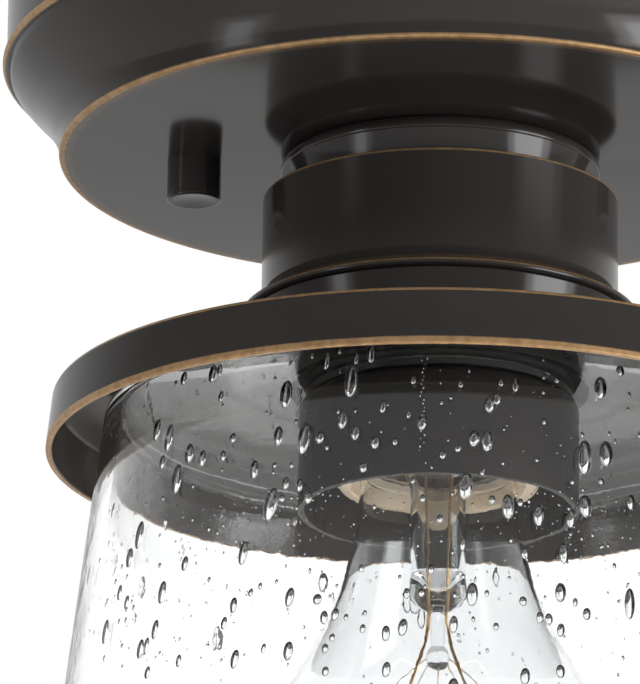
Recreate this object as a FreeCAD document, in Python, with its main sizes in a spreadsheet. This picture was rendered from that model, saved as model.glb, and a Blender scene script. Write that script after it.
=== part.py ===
import FreeCAD
import Part

import math
import operator
import os
from types import SimpleNamespace

import Sketcher

# A porch ceiling lantern, in millimetres. The origin is the centre of the ceiling face, +Z points up
# into the ceiling, and everything hangs below it at negative heights. X runs through the two cap nuts.

SHEET_VALUES = {
    # ceiling side
    "gasket_thickness": 2.5,
    "gasket_width": 5.0,
    "gasket_inset": 0.4,
    "bar_straight_length": 104.0,
    "bar_width": 22.0,
    "bar_thickness": 2.0,
    "stud_spacing": 88.9,
    "stud_radius": 2.08,
    "stud_top_gap": 0.3,
    "stud_nut_radius": 5.0,
    "stud_nut_height": 3.1,
    "box_screw_spacing": 69.85,
    "box_slot_length": 11.0,
    "box_slot_width": 4.8,
    "ground_screw_offset": 20.0,
    "ground_screw_radius": 2.4,
    "ground_head_radius": 4.4,
    "ground_head_height": 2.6,
    # canopy
    "canopy_radius": 79.4,
    "canopy_depth": 35.0,
    "canopy_wall": 1.2,
    "ogee_height": 17.0,
    "ogee_middle_height": 11.0,
    "ogee_middle_inset": 5.3,
    "ogee_foot_height": 2.2,
    "ogee_foot_inset": 10.5,
    "ogee_upper_arc": 38.0,
    "ogee_lower_arc": 21.0,
    "canopy_edge_round": 0.9,
    "canopy_foot_round": 1.5,
    # cap nuts
    "cap_nut_radius": 4.85,
    "cap_nut_height": 7.4,
    "cap_nut_round": 0.8,
    "cap_nut_bore_depth": 6.0,
    "stud_end_gap": 0.8,
    # threaded tube and its nuts
    "nipple_radius": 5.0,
    "nipple_bore": 3.4,
    "nipple_top_reach": 8.0,
    "pipe_nut_radius": 8.2,
    "pipe_nut_height": 4.0,
    "washer_thickness": 1.0,
    "washer_radius": 8.5,
    # collar and neck
    "collar_radius": 28.0,
    "collar_height": 7.5,
    "collar_wall": 1.5,
    "collar_round": 1.45,
    "neck_radius": 32.0,
    "neck_height": 22.7,
    "neck_wall": 1.2,
    "neck_edge_round": 0.5,
    "neck_flare_height": 3.4,
    "neck_flare_arc": 4.6,
    "neck_ring_radius": 35.3,
    "neck_ring_height": 1.2,
    "neck_ring_round": 0.62,
    # shade plate
    "plate_wall": 1.2,
    "plate_hole_gap": 1.1,
    "plate_crown_radius": 33.6,
    "plate_cove_radius": 41.5,
    "plate_cove_drop": 6.7,
    "plate_cove_arc": 9.0,
    "plate_edge_radius": 69.2,
    "plate_edge_round": 1.25,
    "plate_edge_drop": 14.75,
    "plate_lip_radius": 70.2,
    "plate_lip_drop": 25.2,
    "plate_inner_ease": 0.4,
    # shade seat
    "spacer_radius": 27.0,
    "spacer_wall": 4.0,
    "shade_gasket_thickness": 1.2,
    # glass shade
    "shade_hole_gap": 1.75,
    "shade_seat_radius": 27.5,
    "shade_seat_drop": 11.2,
    "shade_glass": 2.6,
    "shade_shoulder_drop": 5.5,
    "shade_shoulder_round": 3.0,
    "shade_top_radius": 59.9,
    "shade_mouth_radius": 74.6,
    "shade_length": 128.6,
    "shade_rim_round": 1.25,
    # socket and retaining cup
    "socket_radius": 19.5,
    "socket_rim_radius": 18.0,
    "socket_rise": 3.2,
    "socket_lip": 4.4,
    "socket_rim_height": 6.0,
    "socket_roof": 3.2,
    "socket_mouth_radius": 15.6,
    "socket_mouth_depth": 3.0,
    "screw_shell_wall": 0.45,
    "screw_shell_rise": 3.9,
    "contact_radius": 4.0,
    "contact_thickness": 0.6,
    "cup_radius": 25.1,
    "cup_wall": 1.2,
    "cup_length": 20.3,
    "cup_roof": 1.5,
    "cup_edge_round": 1.15,
    "cup_sleeve_wall": 1.6,
    "cup_sleeve_length": 7.0,
    "bracket_width": 12.0,
    "bracket_thickness": 1.5,
    "bracket_end_margin": 2.5,
    "bracket_height": 7.5,
    "bracket_screw_spacing": 33.0,
    "bracket_screw_radius": 1.5,
    "bracket_head_radius": 2.6,
    "bracket_head_height": 1.6,
    "bracket_screw_depth": 6.0,
    # bulb
    "bulb_radius": 30.0,
    "bulb_neck_radius": 14.0,
    "bulb_neck_arc": 66.0,
    "bulb_wall": 0.7,
    "bulb_seal_gap": 0.4,
    "bulb_seal_length": 5.0,
    "bulb_seal_step": 1.5,
    "bulb_base_radius": 13.1,
    "bulb_base_wall": 0.3,
    "bulb_base_length": 22.0,
    "bulb_base_gap": 2.3,
    "bulb_base_cone": 2.2,
    "bulb_insulator_radius": 9.2,
    "bulb_insulator_height": 2.4,
    "bulb_tip_radius": 4.6,
    "bulb_tip_height": 1.3,
    "stem_flare_height": 5.0,
    "stem_rod_radius": 1.3,
    "stem_radius": 4.2,
    "stem_length": 27.0,
    "stem_button_radius": 2.2,
    "stem_button_length": 12.0,
    "lead_wire_radius": 0.35,
    "support_wire_radius": 0.22,
    "filament_radius": 0.3,
    "filament_ring_radius": 14.0,
    "filament_rise": 3.0,
    "filament_sway": 3.5,
    "lead_wire_inset": 1.8,
    "lead_wire_drop": 3.0,
    "wire_gap": 0.2,
    # wiring
    "lead_radius": 1.05,
    "lead_offset": 1.6,
    "lead_height": 15.5,
    "ground_wire_radius": 0.8,
    "lug_tongue_width": 2.4,
    "lug_reach": 0.5,
    "lug_overlap": 1.5,
    "ground_wire_swing": 9.0,
    "connector_mouth_radius": 5.2,
    "connector_tip_radius": 3.4,
    "connector_length": 17.0,
    "connector_start": 21.0,
    # fits
    "thread_gap": 0.05,
    "screw_clearance": 0.4,
    "bulb_clearance": 0.35,
    "contact_gap": 0.1,
    "screw_end_gap": 0.5,
}

OPERATIONS = {"+": operator.add, "-": operator.sub, "*": operator.mul, "/": operator.truediv}


class Size:
    """A length with the sheet formula that gives it, so that a feature can be bound to it."""

    def __init__(self, number, formula):
        self.number = number
        self.formula = formula

    def __add__(self, other):
        return combined(self, "+", other)

    def __sub__(self, other):
        return combined(self, "-", other)

    def __mul__(self, other):
        return combined(self, "*", other)

    def __truediv__(self, other):
        return combined(self, "/", other)

    def __neg__(self):
        return ZERO - self


def sized(value):
    return value if isinstance(value, Size) else Size(float(value), f"{value}")


def combined(left, sign, right):
    left, right = sized(left), sized(right)
    return Size(OPERATIONS[sign](left.number, right.number), f"({left.formula} {sign} {right.formula})")


ZERO = Size(0.0, "0")
# How far a wall's inner corner lies from its outer one, as a share of the wall's thickness.
SLOPED_CORNER = 0.7
BLUNT_CORNER = 0.4

doc = FreeCAD.newDocument("PorchCeilingLantern")
sheet = doc.addObject("Spreadsheet::Sheet", "Sizes")
for row, (alias, value) in enumerate(SHEET_VALUES.items(), 1):
    sheet.set(f"A{row}", alias)
    sheet.set(f"B{row}", str(value))
    sheet.setAlias(f"B{row}", alias)
doc.recompute()
dim = SimpleNamespace(**{alias: Size(float(sheet.get(alias)), f"Sizes.{alias}") for alias in SHEET_VALUES})

# Heights that several pieces share, all measured from the ceiling face.
bar_bottom = -dim.bar_thickness
canopy_top = -dim.gasket_thickness
canopy_bottom = -dim.canopy_depth
canopy_floor = canopy_bottom + dim.canopy_wall
neck_top = canopy_bottom - dim.collar_height
neck_bottom = neck_top - dim.neck_height
plate_underside = neck_bottom - dim.plate_wall
shade_top = neck_bottom - dim.shade_seat_drop
shade_underside = shade_top - dim.shade_glass
shade_bottom = shade_top - dim.shade_length
socket_top = neck_bottom + dim.socket_rise
cup_top = shade_underside - dim.shade_gasket_thickness
cup_bottom = cup_top - dim.cup_length
bracket_top = socket_top + dim.bracket_height
contact_bottom = socket_top - dim.socket_roof - dim.contact_thickness
bulb_top = contact_bottom - dim.contact_gap
base_shell_top = bulb_top - dim.bulb_tip_height - dim.bulb_insulator_height
base_shell_bottom = base_shell_top - dim.bulb_base_length
bulb_neck_top = base_shell_bottom - dim.bulb_base_gap
socket_bottom = base_shell_bottom - dim.socket_lip

# Widths that several pieces share.
stud_half = dim.stud_spacing / 2
shade_hole = dim.socket_radius + dim.shade_hole_gap
shade_shoulder = dim.shade_top_radius - dim.shade_shoulder_round
shell_inner = dim.bulb_base_radius + dim.bulb_clearance
shell_outer = shell_inner + dim.screw_shell_wall
bulb_seal = dim.bulb_base_radius - dim.bulb_base_wall - dim.bulb_seal_gap
lug_thickness = dim.ground_wire_radius

# The ball of the bulb and the arc of its neck touch, so the arc's centre lies this far above the ball's.
arc_reach = dim.bulb_radius + dim.bulb_neck_arc
arc_across = dim.bulb_neck_radius + dim.bulb_neck_arc
neck_climb = Size(
    math.sqrt(arc_reach.number**2 - arc_across.number**2),
    f"sqrt({arc_reach.formula}^2 - {arc_across.formula}^2)",
)
bulb_centre = bulb_neck_top - neck_climb

nodes = []


def node(feature, label):
    """Marks a feature as one piece of the lantern and names its file."""
    feature.Label = label
    nodes.append(feature)
    return feature


def bind(feature, **sizes):
    for name, size in sizes.items():
        feature.setExpression(name, sized(size).formula)


def place(feature, across=ZERO, along=ZERO, up=ZERO, turn=None):
    """Sets where a feature stands, with its position bound to the sheet."""
    if turn:
        feature.Placement = FreeCAD.Placement(FreeCAD.Vector(), turn)
    feature.setExpression("Placement.Base.x", sized(across).formula)
    feature.setExpression("Placement.Base.y", sized(along).formula)
    feature.setExpression("Placement.Base.z", sized(up).formula)
    return feature


def cylinder(name, radius, height, **where):
    feature = doc.addObject("Part::Cylinder", name)
    bind(feature, Radius=radius, Height=height)
    return place(feature, **where)


def cut(name, base, tool):
    feature = doc.addObject("Part::Cut", name)
    feature.Base = base
    feature.Tool = tool
    return feature


def fused(name, pieces):
    feature = doc.addObject("Part::MultiFuse", name)
    feature.Shapes = pieces
    return feature


def group(name, pieces):
    feature = doc.addObject("Part::Compound", name)
    feature.Links = pieces
    return feature


def ring(name, outer, inner, height, **where):
    """A flat ring or a tube, standing on its lower face."""
    disc = cylinder(name + "_disc", outer, height, **where)
    hole = cylinder(name + "_hole", inner, height, **where)
    return cut(name, disc, hole)


def hex_nut(name, across_corners, bore, height, **where):
    prism = doc.addObject("Part::Prism", name + "_prism")
    prism.Polygon = 6
    bind(prism, Circumradius=across_corners, Height=height)
    place(prism, **where)
    return cut(name, prism, cylinder(name + "_bore", bore, height, **where))


def plane_of(body, role):
    return next(feature for feature in body.Origin.OriginFeatures if feature.Role == role)


def new_sketch(body, name, role):
    sketch = body.newObject("Sketcher::SketchObject", name)
    sketch.AttachmentSupport = [(plane_of(body, role), "")]
    sketch.MapMode = "FlatFace"
    return sketch


def hold_point(sketch, geometry, end, across, up):
    """Ties one end of an edge to its distances from the sketch's axes."""
    for kind, axis, size in (("DistanceX", -2, across), ("DistanceY", -1, up)):
        if size.formula == "0":
            sketch.addConstraint(Sketcher.Constraint("PointOnObject", geometry, end, axis))
            continue
        number = sketch.addConstraint(Sketcher.Constraint(kind, -1, 1, geometry, end, size.number))
        sketch.setExpression(f"Constraints[{number}]", size.formula)


def arc_middle(start, finish, radius, side):
    """Middle point of the shorter arc from start to finish, swung out to the left (+1) or right (-1)."""
    chord = finish - start
    half = chord.Length / 2
    rise = radius - math.sqrt(radius * radius - half * half)
    left = FreeCAD.Vector(-chord.y, chord.x, 0).normalize()
    return (start + finish) / 2 + left * (side * rise)


def outline(sketch, corners):
    """Draws a closed outline. A corner is (across, up), or (across, up, arc radius, side) where an arc
    runs from it to the next corner, swung out to the left (+1) or the right (-1) of the way there."""
    points = [FreeCAD.Vector(sized(c[0]).number, sized(c[1]).number, 0) for c in corners]
    starts = []
    for index, corner in enumerate(corners):
        here = points[index]
        there = points[(index + 1) % len(points)]
        if len(corner) == 2:
            number = sketch.addGeometry(Part.LineSegment(here, there), False)
            starts.append((number, 1, 2))
            continue
        radius, side = corner[2], corner[3]
        middle = arc_middle(here, there, radius.number, side)
        number = sketch.addGeometry(Part.Arc(here, middle, there), False)
        first = 1 if sketch.getPoint(number, 1).distanceToPoint(here) < 1e-6 else 2
        starts.append((number, first, 3 - first))
        held = sketch.addConstraint(Sketcher.Constraint("Radius", number, radius.number))
        sketch.setExpression(f"Constraints[{held}]", radius.formula)
    for index, corner in enumerate(corners):
        number, first, last = starts[index]
        next_number, next_first, next_last = starts[(index + 1) % len(starts)]
        sketch.addConstraint(Sketcher.Constraint("Coincident", number, last, next_number, next_first))
        hold_point(sketch, number, first, sized(corner[0]), sized(corner[1]))


def circles(sketch, spots):
    """Draws circles, each (across, up, radius)."""
    for across, up, radius in spots:
        across, up, radius = sized(across), sized(up), sized(radius)
        centre = FreeCAD.Vector(across.number, up.number, 0)
        number = sketch.addGeometry(Part.Circle(centre, FreeCAD.Vector(0, 0, 1), radius.number), False)
        held = sketch.addConstraint(Sketcher.Constraint("Radius", number, radius.number))
        sketch.setExpression(f"Constraints[{held}]", radius.formula)
        hold_point(sketch, number, 3, across, up)


def turned_body(label, corners):
    """A piece of revolution about Z, from its half section in the XZ plane."""
    body = doc.addObject("PartDesign::Body", label)
    sketch = new_sketch(body, label + "_section", "XZ_Plane")
    outline(sketch, corners)
    turn = body.newObject("PartDesign::Revolution", label + "_turned")
    turn.Profile = sketch
    turn.ReferenceAxis = (sketch, ["V_Axis"])
    turn.Angle = 360
    sketch.Visibility = False
    doc.recompute()
    return body


def bore_through(body, spots):
    """Drills holes straight through a body along Z, each (across, along, radius)."""
    before = body.Shape.Volume
    sketch = new_sketch(body, body.Name + "_holes", "XY_Plane")
    circles(sketch, spots)
    pocket = body.newObject("PartDesign::Pocket", body.Name + "_drilled")
    pocket.Profile = sketch
    pocket.Type = "ThroughAll"
    pocket.Midplane = True
    doc.recompute()
    if pocket.Shape.Volume > before - 0.1:
        raise RuntimeError(body.Name + " was not drilled")


def circle_edges(shape, radius, up):
    """Names of the full circles of this radius at this height."""
    found = []
    for number, edge in enumerate(shape.Edges, 1):
        curve = edge.Curve
        if not isinstance(curve, Part.Circle):
            continue
        if abs(curve.Radius - radius.number) < 0.01 and abs(curve.Center.z - up.number) < 0.01:
            found.append(f"Edge{number}")
    if not found:
        raise RuntimeError(f"no circle of radius {radius.number} at {up.number}")
    return found


def round_edges(body, radius, rims):
    """Rounds circular rims of a body, each (circle radius, height)."""
    base = body.Tip
    names = []
    for rim_radius, up in rims:
        names += circle_edges(base.Shape, rim_radius, up)
    fillet = body.newObject("PartDesign::Fillet", base.Name + "_rounded")
    fillet.Base = (base, names)
    bind(fillet, Radius=radius)
    doc.recompute()


def solid_feature(name, shape):
    feature = doc.addObject("Part::Feature", name)
    feature.Shape = shape
    return feature


def bent_path(points):
    """Straight runs joined by tangent arcs, each arc as large as its two runs allow."""
    edges = []
    radii = []
    at = points[0]
    for before, corner, after in zip(points, points[1:], points[2:]):
        back = (before - corner).normalize()
        on = (after - corner).normalize()
        turn = math.pi - back.getAngle(on)
        reach = 0.45 * min((before - corner).Length, (after - corner).Length)
        radius = reach / math.tan(turn / 2)
        start = corner + back * reach
        finish = corner + on * reach
        inward = (back + on).normalize()
        centre = corner + inward * (radius / math.cos(turn / 2))
        edges.append(Part.LineSegment(at, start).toShape())
        edges.append(Part.Arc(start, centre - inward * radius, finish).toShape())
        radii.append(round(radius, 1))
        at = finish
    edges.append(Part.LineSegment(at, points[-1]).toShape())
    return Part.Wire(edges), radii


def round_wire(name, points, radius):
    """A round wire or lead along hand-chosen points."""
    path, radii = bent_path(points)
    start = points[0]
    section = Part.Wire(Part.Circle(start, points[1] - start, radius.number).toShape())
    tube = path.makePipeShell([section], True, True)
    expected = math.pi * radius.number**2 * path.Length
    print(f"{name}: arc radii {radii}, volume ratio {tube.Volume / expected:.4f}")
    return tube


def vector(across, along, up):
    """A point or a direction, from numbers or sizes."""
    return FreeCAD.Vector(sized(across).number, sized(along).number, sized(up).number)


# ---- ceiling side -------------------------------------------------------------------------------

def make_ceiling_gasket():
    outer = dim.canopy_radius - dim.gasket_inset
    gasket = ring("ceiling_ring", outer, outer - dim.gasket_width, dim.gasket_thickness, up=canopy_top)
    node(gasket, "ceiling_gasket")


def make_crossbar():
    body = doc.addObject("PartDesign::Body", "crossbar")
    sketch = new_sketch(body, "crossbar_plan", "XY_Plane")
    straight = dim.bar_straight_length / 2
    half_width = dim.bar_width / 2
    outline(
        sketch,
        [
            (-straight, -half_width),
            (straight, -half_width, dim.bar_width, -1),
            (straight, half_width),
            (-straight, half_width, dim.bar_width, -1),
        ],
    )
    pad = body.newObject("PartDesign::Pad", "crossbar_pad")
    pad.Profile = sketch
    pad.Reversed = True
    bind(pad, Length=dim.bar_thickness)
    doc.recompute()
    bore_through(
        body,
        [
            (stud_half, ZERO, dim.stud_radius),
            (-stud_half, ZERO, dim.stud_radius),
            (-dim.ground_screw_offset, ZERO, dim.ground_screw_radius),
            (ZERO, ZERO, dim.nipple_radius + dim.screw_clearance),
        ],
    )
    cut_box_slots(body)
    node(body, "crossbar")


def cut_box_slots(body):
    """Two slots along X for the ceiling box's screws."""
    sketch = new_sketch(body, "crossbar_slots", "XY_Plane")
    half_width = dim.box_slot_width / 2
    for side in (-1, 1):
        middle = dim.box_screw_spacing / 2 * side
        reach = dim.box_slot_length / 2 - half_width
        slot_outline(sketch, middle - reach, middle + reach, half_width)
    pocket = body.newObject("PartDesign::Pocket", "crossbar_slotted")
    pocket.Profile = sketch
    pocket.Type = "ThroughAll"
    pocket.Midplane = True
    doc.recompute()


def slot_outline(sketch, left, right, half_width):
    """A slot with round ends, drawn with each end as two quarter arcs."""
    outline(
        sketch,
        [
            (left, -half_width),
            (right, -half_width, half_width, -1),
            (right + half_width, ZERO, half_width, -1),
            (right, half_width),
            (left, half_width, half_width, -1),
            (left - half_width, ZERO, half_width, -1),
        ],
    )


def make_studs():
    tip = canopy_bottom - dim.cap_nut_bore_depth + dim.stud_end_gap
    studs = [
        cylinder(f"stud_{side}", dim.stud_radius, -tip - dim.stud_top_gap, across=stud_half * side, up=tip)
        for side in (-1, 1)
    ]
    node(group("canopy_studs", studs), "canopy_studs")
    nut_height = dim.stud_nut_height
    nuts = [
        hex_nut(
            f"stud_nut_{side}",
            dim.stud_nut_radius,
            dim.stud_radius,
            nut_height,
            across=stud_half * side,
            up=bar_bottom - nut_height,
        )
        for side in (-1, 1)
    ]
    node(group("stud_lock_nuts", nuts), "stud_lock_nuts")


def make_ground_screw():
    across = -dim.ground_screw_offset
    head_top = bar_bottom - lug_thickness
    shank_height = dim.bar_thickness + lug_thickness - dim.stud_top_gap
    shank = cylinder("ground_shank", dim.ground_screw_radius, shank_height, across=across, up=head_top)
    head = doc.addObject("Part::Prism", "ground_head")
    head.Polygon = 6
    bind(head, Circumradius=dim.ground_head_radius, Height=dim.ground_head_height)
    place(head, across=across, up=head_top - dim.ground_head_height)
    node(fused("ground_screw", [shank, head]), "ground_screw")


# ---- canopy, collar and neck --------------------------------------------------------------------

def make_canopy():
    """Pressed steel dish: a straight wall, an ogee and a flat bottom, open at the ceiling."""
    wall = dim.canopy_wall
    edge_up = canopy_bottom + dim.ogee_height
    middle_up = canopy_bottom + dim.ogee_middle_height
    foot_up = canopy_bottom + dim.ogee_foot_height
    middle = dim.canopy_radius - dim.ogee_middle_inset
    foot = dim.canopy_radius - dim.ogee_foot_inset
    body = turned_body(
        "canopy",
        [
            (ZERO, canopy_bottom),
            (foot, canopy_bottom),
            (foot, foot_up, dim.ogee_lower_arc, 1),
            (middle, middle_up, dim.ogee_upper_arc, -1),
            (dim.canopy_radius, edge_up),
            (dim.canopy_radius, canopy_top),
            (dim.canopy_radius - wall, canopy_top),
            (dim.canopy_radius - wall, edge_up + wall * BLUNT_CORNER, dim.ogee_upper_arc - wall, 1),
            (middle - wall * SLOPED_CORNER, middle_up + wall * SLOPED_CORNER, dim.ogee_lower_arc + wall, -1),
            (foot - wall, foot_up + wall * BLUNT_CORNER),
            (foot - wall, canopy_floor),
            (ZERO, canopy_floor),
        ],
    )
    round_edges(body, dim.canopy_foot_round, [(foot, canopy_bottom)])
    round_edges(body, dim.canopy_edge_round, [(dim.canopy_radius, edge_up)])
    bore_through(
        body,
        [
            (stud_half, ZERO, dim.stud_radius + dim.screw_clearance),
            (-stud_half, ZERO, dim.stud_radius + dim.screw_clearance),
            (ZERO, ZERO, dim.nipple_radius + dim.thread_gap),
        ],
    )
    node(body, "canopy")


def make_cap_nut(side, label):
    """Smooth round nut with a blind threaded bore, screwed up against the canopy."""
    blank = cylinder(
        label + "_blank",
        dim.cap_nut_radius,
        dim.cap_nut_height,
        across=stud_half * side,
        up=canopy_bottom - dim.cap_nut_height,
    )
    bore = cylinder(
        label + "_bore",
        dim.stud_radius + dim.thread_gap,
        dim.cap_nut_bore_depth,
        across=stud_half * side,
        up=canopy_bottom - dim.cap_nut_bore_depth,
    )
    drilled = cut(label + "_drilled", blank, bore)
    doc.recompute()
    low = canopy_bottom - dim.cap_nut_height
    edge = circle_edges(drilled.Shape, dim.cap_nut_radius, low)[0]
    rounded = doc.addObject("Part::Fillet", label + "_rounded")
    rounded.Base = drilled
    round_radius = dim.cap_nut_round.number
    rounded.Edges = [(int(edge[4:]), round_radius, round_radius)]
    node(rounded, label)


def make_collar():
    wall = dim.collar_wall
    body = turned_body(
        "collar",
        [
            (dim.nipple_radius + dim.thread_gap, canopy_bottom),
            (dim.collar_radius, canopy_bottom),
            (dim.collar_radius, neck_top),
            (dim.collar_radius - wall, neck_top),
            (dim.collar_radius - wall, canopy_bottom - wall),
            (dim.nipple_radius + dim.thread_gap, canopy_bottom - wall),
        ],
    )
    round_edges(body, dim.collar_round, [(dim.collar_radius, canopy_bottom)])
    node(body, "collar")


def make_neck():
    """Straight neck that flares out to a rolled ring at its foot."""
    wall = dim.neck_wall
    ring_top = neck_bottom + dim.neck_ring_height
    flare_top = ring_top + dim.neck_flare_height
    body = turned_body(
        "neck_housing",
        [
            (dim.nipple_radius + dim.thread_gap, neck_top),
            (dim.neck_radius, neck_top),
            (dim.neck_radius, flare_top, dim.neck_flare_arc, -1),
            (dim.neck_ring_radius, ring_top, dim.neck_ring_round, 1),
            (dim.neck_ring_radius, neck_bottom),
            (dim.neck_radius - wall, neck_bottom),
            (dim.neck_radius - wall, neck_top - wall),
            (dim.nipple_radius + dim.thread_gap, neck_top - wall),
        ],
    )
    round_edges(body, dim.neck_edge_round, [(dim.neck_radius, neck_top)])
    node(body, "neck_housing")


# ---- the threaded tube and its nuts -------------------------------------------------------------

def make_nipple():
    top = canopy_floor + dim.nipple_top_reach
    bottom = bracket_top - dim.bracket_thickness - dim.screw_end_gap
    tube = ring("nipple_tube", dim.nipple_radius, dim.nipple_bore, top - bottom, up=bottom)
    node(tube, "threaded_nipple")
    washer_spots = [canopy_floor + lug_thickness, neck_top - dim.neck_wall - dim.washer_thickness]
    nut_spots = [
        washer_spots[0] + dim.washer_thickness,
        washer_spots[1] - dim.pipe_nut_height,
        bracket_top,
    ]
    bore = dim.nipple_radius + dim.thread_gap
    nuts = [
        hex_nut(f"pipe_nut_{number}", dim.pipe_nut_radius, bore, dim.pipe_nut_height, up=up)
        for number, up in enumerate(nut_spots)
    ]
    node(group("nipple_nuts", nuts), "nipple_nuts")
    washers = [
        ring(f"washer_{number}", dim.washer_radius, bore, dim.washer_thickness, up=up)
        for number, up in enumerate(washer_spots)
    ]
    node(group("lock_washers", washers), "lock_washers")


# ---- shade plate, spacer, gaskets and glass -----------------------------------------------------

def make_shade_plate():
    """Pressed plate: flat crown, cove, sloping roof, rolled edge and a short flared skirt."""
    wall = dim.plate_wall
    ease = dim.plate_inner_ease
    hole = dim.socket_radius + dim.plate_hole_gap
    cove_up = neck_bottom - dim.plate_cove_drop
    edge_up = neck_bottom - dim.plate_edge_drop
    lip_up = neck_bottom - dim.plate_lip_drop
    edge_in = dim.plate_edge_radius - dim.plate_edge_round
    body = turned_body(
        "shade_plate",
        [
            (hole, neck_bottom),
            (dim.plate_crown_radius, neck_bottom, dim.plate_cove_arc, -1),
            (dim.plate_cove_radius, cove_up),
            (edge_in, edge_up, dim.plate_edge_round, 1),
            (dim.plate_edge_radius, edge_up - dim.plate_edge_round),
            (dim.plate_lip_radius, lip_up),
            (dim.plate_lip_radius - wall, lip_up),
            (dim.plate_edge_radius - wall, edge_up - dim.plate_edge_round - ease),
            (edge_in - ease, edge_up - wall),
            (dim.plate_cove_radius - ease, cove_up - wall, dim.plate_cove_arc + wall, 1),
            (dim.plate_crown_radius - ease, plate_underside),
            (hole, plate_underside),
        ],
    )
    node(body, "shade_plate")


def make_spacer_and_gaskets():
    upper_up = shade_top
    spacer_up = upper_up + dim.shade_gasket_thickness
    inner = dim.spacer_radius - dim.spacer_wall
    spacer = ring("spacer_ring", dim.spacer_radius, inner, plate_underside - spacer_up, up=spacer_up)
    node(spacer, "shade_spacer")
    upper = ring("upper_ring", dim.spacer_radius, inner, dim.shade_gasket_thickness, up=upper_up)
    node(upper, "upper_shade_gasket")
    lower = ring(
        "lower_ring",
        dim.cup_radius - dim.cup_edge_round,
        shade_hole,
        dim.shade_gasket_thickness,
        up=cup_top,
    )
    node(lower, "lower_shade_gasket")


def make_glass_shade():
    """Seeded glass: a holed dome, a round shoulder and a straight cone, open below."""
    glass = dim.shade_glass
    shoulder_up = shade_top - dim.shade_shoulder_drop
    side_up = shoulder_up - dim.shade_shoulder_round
    body = turned_body(
        "glass_shade",
        [
            (shade_hole, shade_top),
            (dim.shade_seat_radius, shade_top),
            (shade_shoulder, shoulder_up, dim.shade_shoulder_round, 1),
            (dim.shade_top_radius, side_up),
            (dim.shade_mouth_radius, shade_bottom),
            (dim.shade_mouth_radius - glass, shade_bottom),
            (dim.shade_top_radius - glass, side_up - glass / 4),
            (shade_shoulder - glass / 4, shoulder_up - glass),
            (dim.shade_seat_radius, shade_underside),
            (shade_hole, shade_underside),
        ],
    )
    rim = [(dim.shade_mouth_radius, shade_bottom), (dim.shade_mouth_radius - glass, shade_bottom)]
    round_edges(body, dim.shade_rim_round, rim)
    node(body, "glass_shade")


# ---- socket and retaining cup -------------------------------------------------------------------

def make_retaining_cup():
    """Spun cup that screws up the socket and clamps the glass by its top."""
    thread = dim.socket_radius + dim.thread_gap
    sleeve = thread + dim.cup_sleeve_wall
    wall = dim.cup_wall
    body = turned_body(
        "retaining_cup",
        [
            (thread, cup_top),
            (dim.cup_radius, cup_top),
            (dim.cup_radius, cup_bottom),
            (dim.cup_radius - wall, cup_bottom),
            (dim.cup_radius - wall, cup_top - dim.cup_roof),
            (sleeve, cup_top - dim.cup_roof),
            (sleeve, cup_top - dim.cup_sleeve_length),
            (thread, cup_top - dim.cup_sleeve_length),
        ],
    )
    round_edges(body, dim.cup_edge_round, [(dim.cup_radius, cup_top)])
    node(body, "retaining_cup")


def make_socket():
    """Glazed porcelain body with an outside thread, a lower rim and a roof over the contacts."""
    well = shell_outer + dim.thread_gap
    step = socket_bottom + dim.socket_rim_height
    body = turned_body(
        "socket_body",
        [
            (ZERO, socket_top),
            (dim.socket_radius, socket_top),
            (dim.socket_radius, step),
            (dim.socket_rim_radius, step),
            (dim.socket_rim_radius, socket_bottom),
            (dim.socket_mouth_radius, socket_bottom),
            (well, socket_bottom + dim.socket_mouth_depth),
            (well, socket_top - dim.socket_roof),
            (ZERO, socket_top - dim.socket_roof),
        ],
    )
    sketch = new_sketch(body, "bracket_screw_holes", "XY_Plane")
    half = dim.bracket_screw_spacing / 2
    circles(sketch, [(ZERO, half, dim.bracket_screw_radius), (ZERO, -half, dim.bracket_screw_radius)])
    pocket = body.newObject("PartDesign::Pocket", "bracket_screw_sockets")
    pocket.Profile = sketch
    pocket.Type = "Length"
    bind(pocket, Length=dim.bracket_screw_depth - dim.bracket_thickness - socket_top)
    doc.recompute()
    node(body, "socket_body")


def make_socket_metal():
    shell_up = base_shell_bottom + dim.screw_shell_rise
    shell_length = socket_top - dim.socket_roof - shell_up
    shell = ring("shell_tube", shell_outer, shell_inner, shell_length, up=shell_up)
    node(shell, "socket_screw_shell")
    contact = cylinder("contact_disc", dim.contact_radius, dim.contact_thickness, up=contact_bottom)
    node(contact, "socket_centre_contact")


def make_socket_bracket():
    """Steel strap bent down at both ends, hung on the threaded tube and screwed to the socket."""
    body = doc.addObject("PartDesign::Body", "socket_bracket")
    sketch = new_sketch(body, "bracket_side", "YZ_Plane")
    half = dim.bracket_screw_spacing / 2 + dim.bracket_end_margin
    strap = dim.bracket_thickness
    leg = dim.bracket_screw_spacing / 2 - dim.bracket_head_radius - strap - dim.screw_clearance
    top = bracket_top
    outline(
        sketch,
        [
            (-half, socket_top),
            (-leg, socket_top),
            (-leg, top - strap),
            (leg, top - strap),
            (leg, socket_top),
            (half, socket_top),
            (half, socket_top + strap),
            (leg + strap, socket_top + strap),
            (leg + strap, top),
            (-leg - strap, top),
            (-leg - strap, socket_top + strap),
            (-half, socket_top + strap),
        ],
    )
    pad = body.newObject("PartDesign::Pad", "bracket_pad")
    pad.Profile = sketch
    pad.Midplane = True
    bind(pad, Length=dim.bracket_width)
    doc.recompute()
    screw_half = dim.bracket_screw_spacing / 2
    bore_through(
        body,
        [
            (ZERO, ZERO, dim.nipple_radius + dim.thread_gap),
            (ZERO, screw_half, dim.bracket_screw_radius + dim.thread_gap),
            (ZERO, -screw_half, dim.bracket_screw_radius + dim.thread_gap),
        ],
    )
    node(body, "socket_bracket")
    screws = [bracket_screw(side) for side in (-1, 1)]
    node(group("bracket_screws", screws), "bracket_screws")


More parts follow.
